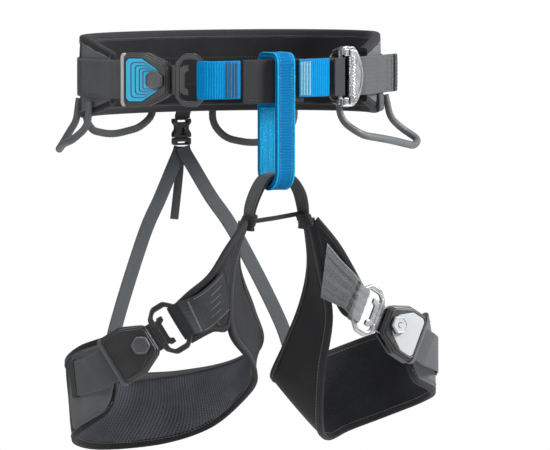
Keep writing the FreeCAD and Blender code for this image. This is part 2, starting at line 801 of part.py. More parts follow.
def face_plate(name, placement):
    """The coloured plate in the cover's recess."""
    body = new_body(name)
    level = f"{COVER_TOP} - Sizes.plate_recess"
    outline = ("Sizes.plate_length", "Sizes.plate_width", "Sizes.plate_corner", (HOUSING_X, 0, level))
    pad(body, octagon(body, f"{name}_outline", *outline), "Sizes.plate_height")
    hole = circle(body, f"{name}_hole", SPINDLE_HOLE, (KNOB_X, 0, f"{level} + Sizes.plate_height"))
    pocket(body, hole, "Sizes.plate_height")
    register(body, name, placement)


def knob(name, placement):
    """The hexagonal knob with its spindle, which turns in the cover."""
    body = new_body(name)
    plate_top = f"{COVER_TOP} - Sizes.plate_recess + Sizes.plate_height"
    level = f"{plate_top} + Sizes.layer_gap"
    pad(body, hexagon(body, f"{name}_head", "Sizes.knob_radius", (KNOB_X, 0, level)), "Sizes.knob_height")
    head = size("base_height") - size("base_below") + size("cover_height") - size("plate_recess")
    head += size("plate_height") + size("layer_gap")
    chamfer_level(body, f"{name}_edge", head + size("knob_height"), "Sizes.knob_edge")
    spindle = circle(body, f"{name}_spindle", "Sizes.spindle_radius",
                     (KNOB_X, 0, f"{COVER_TOP} - Sizes.spindle_depth"))
    head_foot = "Sizes.plate_height - Sizes.plate_recess + Sizes.layer_gap"
    pad(body, spindle, f"Sizes.spindle_depth + {head_foot} + Sizes.knob_height / 2")
    register(body, name, placement)


def latch(name, placement):
    """The plate that the spindle's cam draws back from the tongue."""
    body = new_body(name)
    level = f"{BASE_TOP} + Sizes.layer_gap"
    plate = rectangle(body, f"{name}_plate", "Sizes.latch_length", "Sizes.latch_width", (KNOB_X, 0, level))
    pad(body, plate, "Sizes.latch_height")
    register(body, name, placement)


def tongue_frame(name, placement):
    """The frame that the webbing is folded through, with the blade that enters the housing."""
    body = new_body(name)
    outline = ("Sizes.frame_length", "Sizes.frame_width", "Sizes.frame_corner")
    level = "-Sizes.frame_thickness / 2"
    pad(body, octagon(body, f"{name}_outline", *outline, (0, 0, level)), "Sizes.frame_thickness")
    blade_x = "-(Sizes.frame_length + Sizes.blade_length) / 2 + Sizes.blade_root"
    blade = rectangle(body, f"{name}_blade", "Sizes.blade_length + 2 * Sizes.blade_root", "Sizes.blade_width",
                      (blade_x, 0, "-Sizes.blade_thickness / 2"))
    pad(body, blade, "Sizes.blade_thickness")
    window_x = "Sizes.frame_length / 2 - Sizes.frame_bar - Sizes.window_length / 2"
    window = rectangle(body, f"{name}_window", "Sizes.window_length", "Sizes.window_width",
                       (window_x, 0, "Sizes.frame_thickness / 2"))
    pocket(body, window, "Sizes.frame_thickness")
    register(body, name, placement)


def adjuster():
    """The ladder-lock frame, its slide bar and the backing plate."""
    thick = "Sizes.adjuster_thickness"
    body = new_body("adjuster_frame")
    outline = ("Sizes.adjuster_length", "Sizes.adjuster_width", "Sizes.adjuster_corner")
    pad(body, octagon(body, "adjuster_outline", *outline, (0, 0, f"-{thick} / 2")), thick)
    window = rectangle(body, "adjuster_window", "Sizes.adjuster_window_length", "Sizes.adjuster_window_width",
                       (0, 0, f"{thick} / 2"))
    pocket(body, window, thick)
    register(body, "adjuster_frame", ADJUSTER)

    body = new_body("adjuster_bar")
    outline = ("Sizes.slide_bar_length", "Sizes.adjuster_width", "Sizes.slide_bar_thickness / 2")
    level = f"{thick} / 2 + Sizes.layer_gap"
    pad(body, octagon(body, "bar_outline", *outline, (0, 0, level)), "Sizes.slide_bar_thickness")
    register(body, "adjuster_bar", ADJUSTER)

    body = new_body("adjuster_plate")
    outline = ("Sizes.backing_length", "Sizes.backing_width", "Sizes.adjuster_corner * 2")
    backing = octagon(body, "backing_outline", *outline, (0, 0, "-Sizes.backing_depth"))
    pad(body, backing, "Sizes.backing_thickness")
    register(body, "adjuster_plate", ADJUSTER)


def riser_buckle():
    """The side-release buckle behind the waist: socket, plug bar and its two spring prongs."""
    body = new_body("riser_socket")
    shell = rectangle(body, "socket_shell", "Sizes.socket_width", "Sizes.socket_thickness")
    pad(body, shell, "Sizes.socket_height")
    walls = "2 * Sizes.socket_wall"
    level = "Sizes.socket_height - Sizes.socket_wall"
    inside = (f"Sizes.socket_width - {walls}", f"Sizes.socket_thickness - {walls}")
    cavity = rectangle(body, "socket_cavity", *inside, (0, 0, level))
    pocket(body, cavity, level)
    register(body, "riser_socket", RISER_BUCKLE)

    body = new_body("riser_plug")
    bar = rectangle(body, "plug_bar", "Sizes.socket_width", "Sizes.socket_thickness",
                    (0, 0, "-Sizes.plug_bar_height - Sizes.layer_gap"))
    pad(body, bar, "Sizes.plug_bar_height")
    register(body, "riser_plug", RISER_BUCKLE)

    for side, name in ((1, "left"), (-1, "right")):
        body = new_body(f"{name}_prong")
        prong = rectangle(body, f"{name}_prong_bar", "Sizes.prong_width", "Sizes.prong_width")
        pad(body, prong, "Sizes.prong_length")
        shift = Vector(side * size("prong_offset"), 0, size("layer_gap"))
        register(body, f"{name}_prong", Placement(RISER_BUCKLE.Base + shift, Rotation()))


def strap_ends():
    """The loose strap beyond the adjuster, its folded end and the anchor of the left front gear loop."""
    layer = size("webbing_thickness")
    half = size("webbing_width") / 2
    tail = local_line(ADJUSTER, [(7.0, 3.2), (15.0, 3.2), (24.0, 3.4)])
    tail += [waist_point(50, 5.6), waist_point(58, 5.6), waist_point(66, 8.0), waist_point(71, 13.0)]
    add_shape("waist_strap_tail", plan_band(tail, -half, half).solid(-layer / 2, layer / 2))
    fold = [waist_point(71.2, 13.3), waist_point(74.0, 16.5)]
    add_shape("waist_strap_end", plan_band(fold, -half, half).solid(-layer, layer))
    anchor = [waist_point(angle) for angle in waist_angles(57.0, 69.0)]
    gap = size("layer_gap")
    add_shape("left_loop_anchor", plan_band(anchor, -40, -20.5).solid(gap, gap + size("anchor_thickness")))


# ---- the harness --------------------------------------------------------------------------------------

waist_pad()
waist_straps()
strap_ends()
gear_loops()
belay_loop()
bridge()
risers()
leg_loop("left", LEFT_PAD_ROWS, LEFT_YOKE_ROWS, -1.0)
leg_loop("right", RIGHT_PAD_ROWS, RIGHT_YOKE_ROWS, 1.0)
leg_straps("left", LEFT_LEG_BUCKLE, LEFT_YOKE_STRAP, LEFT_STRAP_END)
leg_straps("right", RIGHT_LEG_BUCKLE, RIGHT_YOKE_STRAP, RIGHT_STRAP_END)
buckles = {"waist": WAIST_BUCKLE, "right_leg": RIGHT_LEG_BUCKLE, "left_leg": LEFT_LEG_BUCKLE}
for prefix, place in buckles.items():
    housing_base(f"{prefix}_housing_base", place)
    housing_cover(f"{prefix}_housing_cover", place)
    face_plate(f"{prefix}_face_plate", place)
    knob(f"{prefix}_knob", place)
    latch(f"{prefix}_latch", place)
    tongue_frame(f"{prefix}_tongue_frame", place)
adjuster()
riser_buckle()
doc.recompute()

for item in doc.Objects:
    faults = {"Invalid", "Error"} & set(item.State)
    if faults:
        raise RuntimeError(f"{item.Label}: {sorted(faults)}")
for piece in pieces:
    if piece.Shape.isNull() or not piece.Shape.isValid():
        raise RuntimeError(f"{piece.Label}: bad shape")

os.makedirs("parts", exist_ok=True)
for piece in pieces:
    piece.Shape.exportStep(os.path.join("parts", f"{piece.Label}.step"))
print(len(pieces), "pieces written")
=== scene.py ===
"""Looks of a climbing harness: padded waist belt, belay loop, leg loops and quick-connect buckles."""

import logging
import math
from dataclasses import dataclass
from enum import Enum
from typing import Callable, Optional, Sequence

import bpy
from mathutils import Euler, Matrix, Vector, noise


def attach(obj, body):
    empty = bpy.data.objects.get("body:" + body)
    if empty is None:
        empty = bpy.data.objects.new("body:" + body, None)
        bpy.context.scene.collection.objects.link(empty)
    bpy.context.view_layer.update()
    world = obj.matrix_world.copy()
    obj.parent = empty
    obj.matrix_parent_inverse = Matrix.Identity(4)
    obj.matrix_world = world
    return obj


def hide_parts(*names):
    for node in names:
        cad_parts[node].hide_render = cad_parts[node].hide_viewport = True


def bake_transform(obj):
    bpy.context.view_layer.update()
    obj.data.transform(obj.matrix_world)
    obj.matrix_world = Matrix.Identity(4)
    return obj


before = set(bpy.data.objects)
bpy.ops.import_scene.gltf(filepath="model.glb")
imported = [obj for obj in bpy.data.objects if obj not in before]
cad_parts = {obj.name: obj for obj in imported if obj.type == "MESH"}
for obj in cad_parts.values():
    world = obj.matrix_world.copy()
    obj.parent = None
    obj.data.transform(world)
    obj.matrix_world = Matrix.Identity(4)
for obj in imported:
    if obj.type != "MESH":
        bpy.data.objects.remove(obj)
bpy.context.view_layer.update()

log = logging.getLogger("harness")

MM = 0.001
EDGES = ((0.0, 1.0), (1.0, -1.0))
Point = tuple[float, float]
Color = tuple[float, float, float]


# ---- layout --------------------------------------------------------------------------------------


def smooth_line(points: Sequence[Vector], steps: int) -> list[Vector]:
    """A Catmull-Rom curve through the points.

    Args:
        points: the points it passes through.
        steps: how many steps each span is cut into.

    Returns:
        The points along the curve, ends included.
    """
    line = []
    last = len(points) - 1
    for index in range(last):
        before = points[max(index - 1, 0)]
        start, end = points[index], points[index + 1]
        after = points[min(index + 2, last)]
        for step in range(steps):
            t = step / steps
            pull = (end - before) * 0.5
            push = (after - start) * 0.5
            line.append(start * (2 * t**3 - 3 * t**2 + 1) + pull * (t**3 - 2 * t**2 + t)
                        + end * (3 * t**2 - 2 * t**3) + push * (t**3 - t**2))
    line.append(points[-1].copy())
    return line


@dataclass
class Band:
    """A strip of cloth in millimetres: its two edge lines and the side that faces out."""

    lower: list[Vector]
    upper: list[Vector]
    outward: float = 1.0

    def __post_init__(self) -> None:
        """Measures the lengths and normals along the strip."""
        self.middles = [(low + high) * 0.5 for low, high in zip(self.lower, self.upper)]
        self.lengths = [0.0]
        for start, end in zip(self.middles, self.middles[1:]):
            self.lengths.append(self.lengths[-1] + (end - start).length)
        self.normals = [self._normal(index) for index in range(len(self.lower))]

    def _normal(self, index: int) -> Vector:
        """The outward normal at a station."""
        last = len(self.lower) - 1
        along = self.middles[min(index + 1, last)] - self.middles[max(index - 1, 0)]
        across = self.upper[index] - self.lower[index]
        return (along.cross(across) * self.outward).normalized()

    @classmethod
    def rows(cls, rows: Sequence[tuple], steps: int, outward: float = 1.0) -> "Band":
        """A smooth band through (edge, edge) rows."""
        lower = smooth_line([Vector(low) for low, high in rows], steps)
        upper = smooth_line([Vector(high) for low, high in rows], steps)
        return cls(lower, upper, outward)

    @classmethod
    def upright(cls, plan: Sequence[Vector], bottom: float, top: float) -> "Band":
        """An upright band over a plan line."""
        return cls([Vector((p.x, p.y, bottom)) for p in plan], [Vector((p.x, p.y, top)) for p in plan])

    @property
    def length(self) -> float:
        """The length along the middle."""
        return self.lengths[-1]

    def resampled(self, pitch: float) -> "Band":
        """The same strip with stations at an even pitch."""
        count = max(2, round(self.length / pitch))
        spots = [self.locate(self.length * index / count) for index in range(count + 1)]
        lower = [self.lower[i].lerp(self.lower[i + 1], t) for i, t in spots]
        upper = [self.upper[i].lerp(self.upper[i + 1], t) for i, t in spots]
        return Band(lower, upper, self.outward)

    def locate(self, distance: float) -> tuple[int, float]:
        """The station before a distance along the strip, and the share of the step after it."""
        last = len(self.lengths) - 2
        index = 0
        while index < last and self.lengths[index + 1] < distance:
            index += 1
        step = self.lengths[index + 1] - self.lengths[index]
        return index, min(1.0, max(0.0, (distance - self.lengths[index]) / max(step, 1e-6)))

    def point(self, distance: float, share: float, inset: float = 0.0, height: float = 0.0) -> Vector:
        """A point at a distance along, a share of the width plus an inset, and a height over it."""
        index, t = self.locate(distance)
        low = self.lower[index].lerp(self.lower[index + 1], t)
        high = self.upper[index].lerp(self.upper[index + 1], t)
        normal = self.normals[index].lerp(self.normals[index + 1], t).normalized()
        across = (high - low).normalized()
        return low.lerp(high, share) + across * inset + normal * height

    def facing(self, distance: float) -> Vector:
        """The direction out of the strip at a distance."""
        index, t = self.locate(distance)
        return self.normals[index].lerp(self.normals[index + 1], t).normalized()

    def inset(self, low: float, high: float) -> "Band":
        """The strip with its edges moved in, or out where negative."""
        lower, upper = [], []
        for start, end in zip(self.lower, self.upper):
            across = (end - start).normalized()
            lower.append(start + across * low)
            upper.append(end - across * high)
        return Band(lower, upper, self.outward)

    def rounded(self, radius: float, at_start: bool, at_end: bool) -> "Band":
        """The strip with the corners of its ends rounded."""
        lower, upper = [], []
        for low, high, distance in zip(self.lower, self.upper, self.lengths):
            trim = 0.0
            for near, used in ((distance, at_start), (self.length - distance, at_end)):
                if used and near < radius:
                    trim = radius - math.sqrt(max(0.0, radius**2 - (radius - near) ** 2))
            across = (high - low).normalized()
            lower.append(low + across * trim)
            upper.append(high - across * trim)
        return Band(lower, upper, self.outward)

    def part(self, start: float, end: float) -> "Band":
        """The strip between two distances along it."""
        first, t0 = self.locate(start)
        last, t1 = self.locate(end)
        lower = [self.lower[first].lerp(self.lower[first + 1], t0)] + self.lower[first + 1:last + 1]
        upper = [self.upper[first].lerp(self.upper[first + 1], t0)] + self.upper[first + 1:last + 1]
        lower.append(self.lower[last].lerp(self.lower[last + 1], t1))
        upper.append(self.upper[last].lerp(self.upper[last + 1], t1))
        return Band(lower, upper, self.outward)


class Placement:
    """A buckle's place in millimetres: X along the strap, Z out of the body."""

    def __init__(self, origin: Sequence[float], along: Sequence[float],
                 outward: Sequence[float]) -> None:
        """Builds the three directions from the strap's run and the way the buckle faces."""
        self.origin = Vector(origin)
        self.x = Vector(along).normalized()
        outward = Vector(outward)
        self.z = (outward - self.x * outward.dot(self.x)).normalized()
        self.y = self.z.cross(self.x)

    def world(self, x: float, y: float, z: float) -> Vector:
        """A local point in the harness's frame."""
        return self.origin + self.x * x + self.y * y + self.z * z

    def matrix(self) -> Matrix:
        """The local frame in metres, for meshes built in metres."""
        rows = Matrix((self.x, self.y, self.z)).transposed().to_4x4()
        rows.translation = self.origin * MM
        return rows

    def strap(self, line: Sequence[Point], width: float) -> tuple[list[Vector], list[Vector]]:
        """The edge lines of a strap that follows a local plan line of (x, z) points."""
        lower = [self.world(x, -width / 2, z) for x, z in line]
        upper = [self.world(x, width / 2, z) for x, z in line]
        return lower, upper


WAIST_HALF_WIDTH = 169.0
WAIST_HALF_DEPTH = 109.0
PAD_LEFT_END = 46.0
PAD_RIGHT_END = 289.0
PAD_END_SWEEP = 34.0
PAD_HALF_HEIGHT = 41.0
PAD_END_HALF_HEIGHT = 26.0
WEBBING = 2.0
GAP = 0.3


def waist_point(angle: float, offset: float = 0.0, fullness: float = 1.0) -> Vector:
    """A plan point of the belt.

    Args:
        angle: degrees from the front, towards the wearer's left.
        offset: how far outside the load line.
        fullness: under 1 gives squarer quarters than an ellipse.

    Returns:
        The point at mid height.
    """
    def plan(degrees: float) -> Vector:
        """A point of the load line."""
        turn = math.radians(degrees)
        across = math.copysign(abs(math.sin(turn)) ** fullness, math.sin(turn))
        forward = math.copysign(abs(math.cos(turn)) ** fullness, math.cos(turn))
        return Vector((WAIST_HALF_WIDTH * across, -WAIST_HALF_DEPTH * forward, 0))

    along = (plan(angle + 0.5) - plan(angle - 0.5)).normalized()
    return plan(angle) + Vector((along.y, -along.x, 0)) * offset


def waist_run(start: float, end: float, offset: float = 0.0, fullness: float = 1.0) -> list[Vector]:
    """Plan points of the belt between two angles."""
    count = max(2, round(abs(end - start) / 2.0))
    return [waist_point(start + (end - start) * i / count, offset, fullness) for i in range(count + 1)]


WAIST_BUCKLE = Placement((-100.0, -101.5, 0.0), (0.72, -0.694, 0.0), (-0.694, -0.72, 0.0))
RIGHT_LEG_BUCKLE = Placement((-135.0, -124.0, -252.0), (0.769, -0.371, 0.517), (-0.6, -0.8, 0.0))
LEFT_LEG_BUCKLE = Placement((95.0, -126.0, -243.0), (-0.86, -0.10, 0.50), (0.2, -0.98, 0.1))
ADJUSTER = Placement((85.0, -99.0, 0.0), (0.935, 0.355, 0.0), (0.355, -0.935, 0.0))


# ---- meshes --------------------------------------------------------------------------------------


class Mesher:
    """Collects faces in millimetres, with the cloth's own lengths as UVs, and builds one object."""

    sharp_degrees = 50

    def __init__(self) -> None:
        """Starts empty."""
        self.points: list[Vector] = []
        self.faces: list[tuple[int, ...]] = []
        self.uvs: list[tuple[Point, ...]] = []
        self.finishes: list[int] = []

    def face(self, corners: Sequence[int], uvs: Sequence[Point], finish: int = 0) -> None:
        """Adds a face over points already added."""
        self.faces.append(tuple(corners))
        self.uvs.append(tuple(uvs))
        self.finishes.append(finish)

    def sweep(self, rings: Sequence[Sequence[Vector]], finish: int = 0, closed: bool = False) -> None:
        """Joins rings of points into a skin, with flat ends unless closed.

        Args:
            rings: equal-length closed sections along the sweep.
            finish: index of the face's material.
            closed: whether the last ring joins the first.
        """
        base = len(self.points)
        size = len(rings[0])
        around = [0.0]
        middle = rings[len(rings) // 2]
        for index in range(size):
            around.append(around[-1] + (middle[(index + 1) % size] - middle[index]).length)
        along = [0.0]
        for ring, following in zip(rings, rings[1:]):
            along.append(along[-1] + (following[0] - ring[0]).length)
        if closed:
            along.append(along[-1] + (rings[0][0] - rings[-1][0]).length)
        for ring in rings:
            self.points.extend(ring)
        steps = len(rings) if closed else len(rings) - 1
        for step in range(steps):
            here = base + step * size
            ahead = base + (step + 1) % len(rings) * size
            for index in range(size):
                nxt = (index + 1) % size
                corners = (here + index, here + nxt, ahead + nxt, ahead + index)
                uvs = ((along[step], around[index]), (along[step], around[index + 1]),
                       (along[step + 1], around[index + 1]), (along[step + 1], around[index]))
                self.face(corners, uvs, finish)
        if not closed:
            first = tuple(range(base + size - 1, base - 1, -1))
            last = tuple(range(base + (len(rings) - 1) * size, base + len(rings) * size))
            self.face(first, [(0.0, around[i - base]) for i in first], finish)
            self.face(last, [(along[-1], around[i - last[0]]) for i in last], finish)

    def build(self, name: str, materials: Sequence[bpy.types.Material]) -> bpy.types.Object:
        """Makes the object.

        Args:
            name: the object's name.
            materials: one for each finish index.

        Returns:
            The new object, linked to the scene.
        """
        mesh = bpy.data.meshes.new(name)
        mesh.from_pydata([tuple(point * MM) for point in self.points], [], self.faces)
        layer = mesh.uv_layers.new(name="cloth")
        loop = 0
        for polygon, uvs, finish in zip(mesh.polygons, self.uvs, self.finishes):
            polygon.material_index = finish
            polygon.use_smooth = True
            for uv in uvs:
                layer.data[loop].uv = uv
                loop += 1
        for material in materials:
            mesh.materials.append(material)
        mesh.validate()
        mesh.set_sharp_from_angle(angle=math.radians(self.sharp_degrees))
        made = bpy.data.objects.new(name, mesh)
        bpy.context.scene.collection.objects.link(made)
        return made


Relief = Callable[[float, float], float]


@dataclass(frozen=True)
class Section:
    """The cross-section of a strip: a slab with rounded edges and a crowned outer face."""

    inner: float
    outer: float
    crown: float = 0.0
    cells: int = 8
    rounding: int = 3

    def ring(self, band: Band, index: int, relief: Optional[Relief]) -> list[Vector]:
        """The section's points at a station of a strip."""
        low, high = band.lower[index], band.upper[index]
        across = (high - low).normalized()
        normal = band.normals[index]
        radius = (self.outer - self.inner) / 2
        level = (self.outer + self.inner) / 2
        inner_start, width = low + across * radius, (high - low).length - 2 * radius
        points = []
        for cell in range(self.cells + 1):
            share = cell / self.cells
            points.append(inner_start + across * width * share + normal * self.inner)
        for step in range(1, self.rounding):
            turn = math.pi * step / self.rounding
            points.append(high + across * (radius * math.sin(turn) - radius)
                          + normal * (level - radius * math.cos(turn)))
        for cell in range(self.cells, -1, -1):
            share = cell / self.cells
            lift = self.crown * (1 - abs(2 * share - 1) ** 4)
            if relief:
                lift += relief(band.lengths[index], share)
            points.append(inner_start + across * width * share + normal * (self.outer + lift))
        for step in range(1, self.rounding):
            turn = math.pi * step / self.rounding
            points.append(low + across * (radius - radius * math.sin(turn))
                          + normal * (level + radius * math.cos(turn)))
        return points


def strip(mesher: Mesher, band: Band, section: Section, relief: Optional[Relief] = None,
          finish: int = 0) -> None:
    """Adds a strip of cloth or webbing to a mesh."""
    rings = [section.ring(band, index, relief) for index in range(len(band.lower))]
    mesher.sweep(rings, finish)


def tube_rings(line: Sequence[Vector], radius: Callable[[float], float],
               sides: int) -> list[list[Vector]]:
    """Round rings along a line, turned as little as possible from one to the next."""
    rings = []
    side = None
    count = len(line)
    for index, centre in enumerate(line):
        along = (line[min(index + 1, count - 1)] - line[max(index - 1, 0)]).normalized()
        if side is None:
            side = along.orthogonal().normalized()
        side = (side - along * side.dot(along)).normalized()
        other = along.cross(side)
        size = radius(index / (count - 1))
        rings.append([centre + side * math.cos(turn) * size + other * math.sin(turn) * size
                      for turn in (2 * math.pi * step / sides for step in range(sides))])
    return rings


THREAD_ARCH = ((0.0, -0.5), (0.2, 0.35), (0.5, 0.6), (0.8, 0.35), (1.0, -0.5))
THREAD_SIDES = 5


def thread(mesher: Mesher, start: Vector, end: Vector, lift: Vector, radius: float,
           finish: int) -> None:
    """Adds one stitch: a thread that rises between two needle holes."""
    line = [start.lerp(end, share) + lift * radius * height for share, height in THREAD_ARCH]
    mesher.sweep(tube_rings(line, lambda share: radius * (1.0 - 0.25 * abs(2 * share - 1)),
                            THREAD_SIDES), finish)


@dataclass(frozen=True)
class Seam:
    """A row of stitches: the thread's radius, each stitch's length and the gap between them, in mm."""

    radius: float = 0.28
    stitch: float = 2.4
    gap: float = 0.9

    def along(self, mesher: Mesher, band: Band, share: float, inset: float, height: float,
              start: float = 2.0, end: Optional[float] = None, finish: int = 0) -> None:
        """Sews along a strip at a share of its width plus an inset."""
        stop = band.length - 2.0 if end is None else end
        distance = start
        while distance + self.stitch < stop:
            first = band.point(distance, share, inset, height)
            second = band.point(distance + self.stitch, share, inset, height)
            thread(mesher, first, second, band.facing(distance), self.radius, finish)
            distance += self.stitch + self.gap

    def edges(self, mesher: Mesher, band: Band, inset: float, height: float, start: float = 2.0,
              end: Optional[float] = None, finish: int = 0) -> None:
        """Sews along both edges of a strip, an inset in from each."""
        for share, way in EDGES:
            self.along(mesher, band, share, way * inset, height, start, end, finish)

    def across(self, mesher: Mesher, band: Band, distance: float, height: float, margin: float,
               finish: int = 0) -> None:
        """Sews straight across a strip."""
        index, _ = band.locate(distance)
        width = (band.upper[index] - band.lower[index]).length
        place = margin
        while place + self.stitch < width - margin:
            first = band.point(distance, 0.0, place, height)
            second = band.point(distance, 0.0, place + self.stitch, height)
            thread(mesher, first, second, band.facing(distance), self.radius, finish)
            place += self.stitch + self.gap

    def bartack(self, mesher: Mesher, band: Band, distance: float, height: float, margin: float,
                width: float = 2.4, pitch: float = 0.62, finish: int = 0) -> None:
        """Sews a dense bar across a strip: a close zigzag over a core."""
        index, _ = band.locate(distance)
        span = (band.upper[index] - band.lower[index]).length - 2 * margin
        count = int(span / pitch)
        for step in range(count):
            place = margin + step * pitch
            first = band.point(distance - width / 2, 0.0, place, height)
            second = band.point(distance + width / 2, 0.0, place + pitch * 0.5, height)
            thread(mesher, first, second, band.facing(distance), self.radius, finish)


class Outline:
    """Plane outlines in millimetres for moulded and stamped parts."""

    @staticmethod
    def rounded(corners: Sequence[Point], radius: float, steps: int = 5) -> list[Point]:
        """A polygon with its corners rounded."""
        made = []
        count = len(corners)
        for index in range(count):
            before, corner, after = (Vector(corners[(index + shift) % count]) for shift in (-1, 0, 1))
            back, ahead = (before - corner), (after - corner)
            trim = min(radius, back.length * 0.45, ahead.length * 0.45)
            start, end = corner + back.normalized() * trim, corner + ahead.normalized() * trim
            for step in range(steps + 1):
                t = step / steps
                spot = start * (1 - t) ** 2 + corner * 2 * t * (1 - t) + end * t**2
                made.append((spot.x, spot.y))
        return made

    @classmethod
    def octagon(cls, wide: float, tall: float, corner: float, radius: float = 1.5,
                x: float = 0.0) -> list[Point]:
        """A rectangle with cut corners, centred on (x, 0)."""
        a, b = wide / 2, tall / 2
        corners = [(a, b - corner), (a - corner, b), (corner - a, b), (-a, b - corner),
                   (-a, corner - b), (corner - a, -b), (a - corner, -b), (a, corner - b)]
        return cls.rounded([(x + u, v) for u, v in corners], radius)

    @classmethod
    def box(cls, wide: float, tall: float, radius: float = 1.5, x: float = 0.0,
            y: float = 0.0) -> list[Point]:
        """A rectangle with rounded corners, centred on (x, y)."""
        a, b = wide / 2, tall / 2
        return cls.rounded([(x + a, y + b), (x - a, y + b), (x - a, y - b), (x + a, y - b)], radius)

    @classmethod
    def regular(cls, sides: int, radius: float, rounding: float, x: float) -> list[Point]:
        """A regular polygon centred on (x, 0), with its first corner on the Y side."""
        turns = [math.radians(90.0 + 360.0 * index / sides) for index in range(sides)]
        return cls.rounded([(x + radius * math.cos(turn), radius * math.sin(turn))
                            for turn in turns], rounding)

    @staticmethod
    def circle(radius: float, x: float = 0.0, y: float = 0.0, sides: int = 40) -> list[Point]:
        """A circle."""
        turns = [2 * math.pi * index / sides for index in range(sides)]
        return [(x + radius * math.cos(turn), y + radius * math.sin(turn)) for turn in turns]


class Moulding:
    """Builds bevelled prisms and rods in a buckle's frame and joins them into one object."""

    rod_sides = 14
    sharp_degrees = 35

    def __init__(self, place: Placement) -> None:
        """Starts empty at a placement."""
        self.place = place
        self.parts: list[bpy.types.Object] = []

    def plate(self, loops: Sequence[Sequence[Point]], low: float, high: float, bevel: float,
              material: bpy.types.Material) -> None:
        """Adds a prism with rounded edges.

        Args:
            loops: the outline, then any holes.
            low: its lower level in mm.
            high: its upper level in mm.
            bevel: the edges' radius in mm.
            material: its material.
        """
        curve = bpy.data.curves.new("outline", "CURVE")
        curve.dimensions = "2D"
        curve.fill_mode = "BOTH"
        curve.bevel_mode = "ROUND"
        curve.bevel_resolution = 2
        curve.bevel_depth = bevel * MM
        curve.offset = -bevel * MM
        curve.extrude = max(0.0, (high - low) / 2 - bevel) * MM
        for loop in loops:
            spline = curve.splines.new("POLY")
            spline.points.add(len(loop) - 1)
            spline.use_cyclic_u = True
            for point, (x, y) in zip(spline.points, loop):
                point.co = (x * MM, y * MM, 0, 1)
        holder = bpy.data.objects.new("outline", curve)
        bpy.context.scene.collection.objects.link(holder)
        graph = bpy.context.evaluated_depsgraph_get()
        mesh = bpy.data.meshes.new_from_object(holder.evaluated_get(graph))
        bpy.data.objects.remove(holder)
        mesh.materials.clear()
        mesh.materials.append(material)
        mesh.transform(Matrix.Translation((0, 0, (low + high) / 2 * MM)))
        mesh.transform(self.place.matrix())
        self._keep(mesh)

    def rod(self, line: Sequence[tuple], radius: float, material: bpy.types.Material) -> None:
        """Adds a round rod along local points."""
        mesher = Mesher()
        world = [self.place.world(*point) for point in line]
        mesher.sweep(tube_rings(world, lambda share: radius, self.rod_sides))
        self._keep(mesher.build("rod", [material]), mesher_made=True)

    def _keep(self, part: object, mesher_made: bool = False) -> None:
        """Keeps a mesh or an object for joining."""
        if not mesher_made:
            made = bpy.data.objects.new("part", part)
            bpy.context.scene.collection.objects.link(made)
            part = made
        part.data.polygons.foreach_set("use_smooth", [True] * len(part.data.polygons))
        self.parts.append(part)

    def join(self, name: str) -> bpy.types.Object:
        """Joins the parts under one name."""
        for part in self.parts:
            if part.data.uv_layers:
                part.data.uv_layers.remove(part.data.uv_layers[0])
        bpy.ops.object.select_all(action="DESELECT")
        for part in self.parts:
            part.select_set(True)
        bpy.context.view_layer.objects.active = self.parts[0]
        if len(self.parts) > 1:
            bpy.ops.object.join()
        made = bpy.context.view_layer.objects.active
        made.name = name
        made.data.name = name
        made.data.set_sharp_from_angle(angle=math.radians(self.sharp_degrees))
        return made


# ---- finishes ------------------------------------------------------------------------------------


class Coat(Enum):
    """How a moulded or metal part reflects."""

    PLASTIC = 0.0
    METAL = 1.0


def spread(color: Color, factor: float) -> tuple[float, float, float, float]:
    """A colour made lighter or darker, with alpha."""
    return (*(min(1.0, channel * factor) for channel in color), 1.0)


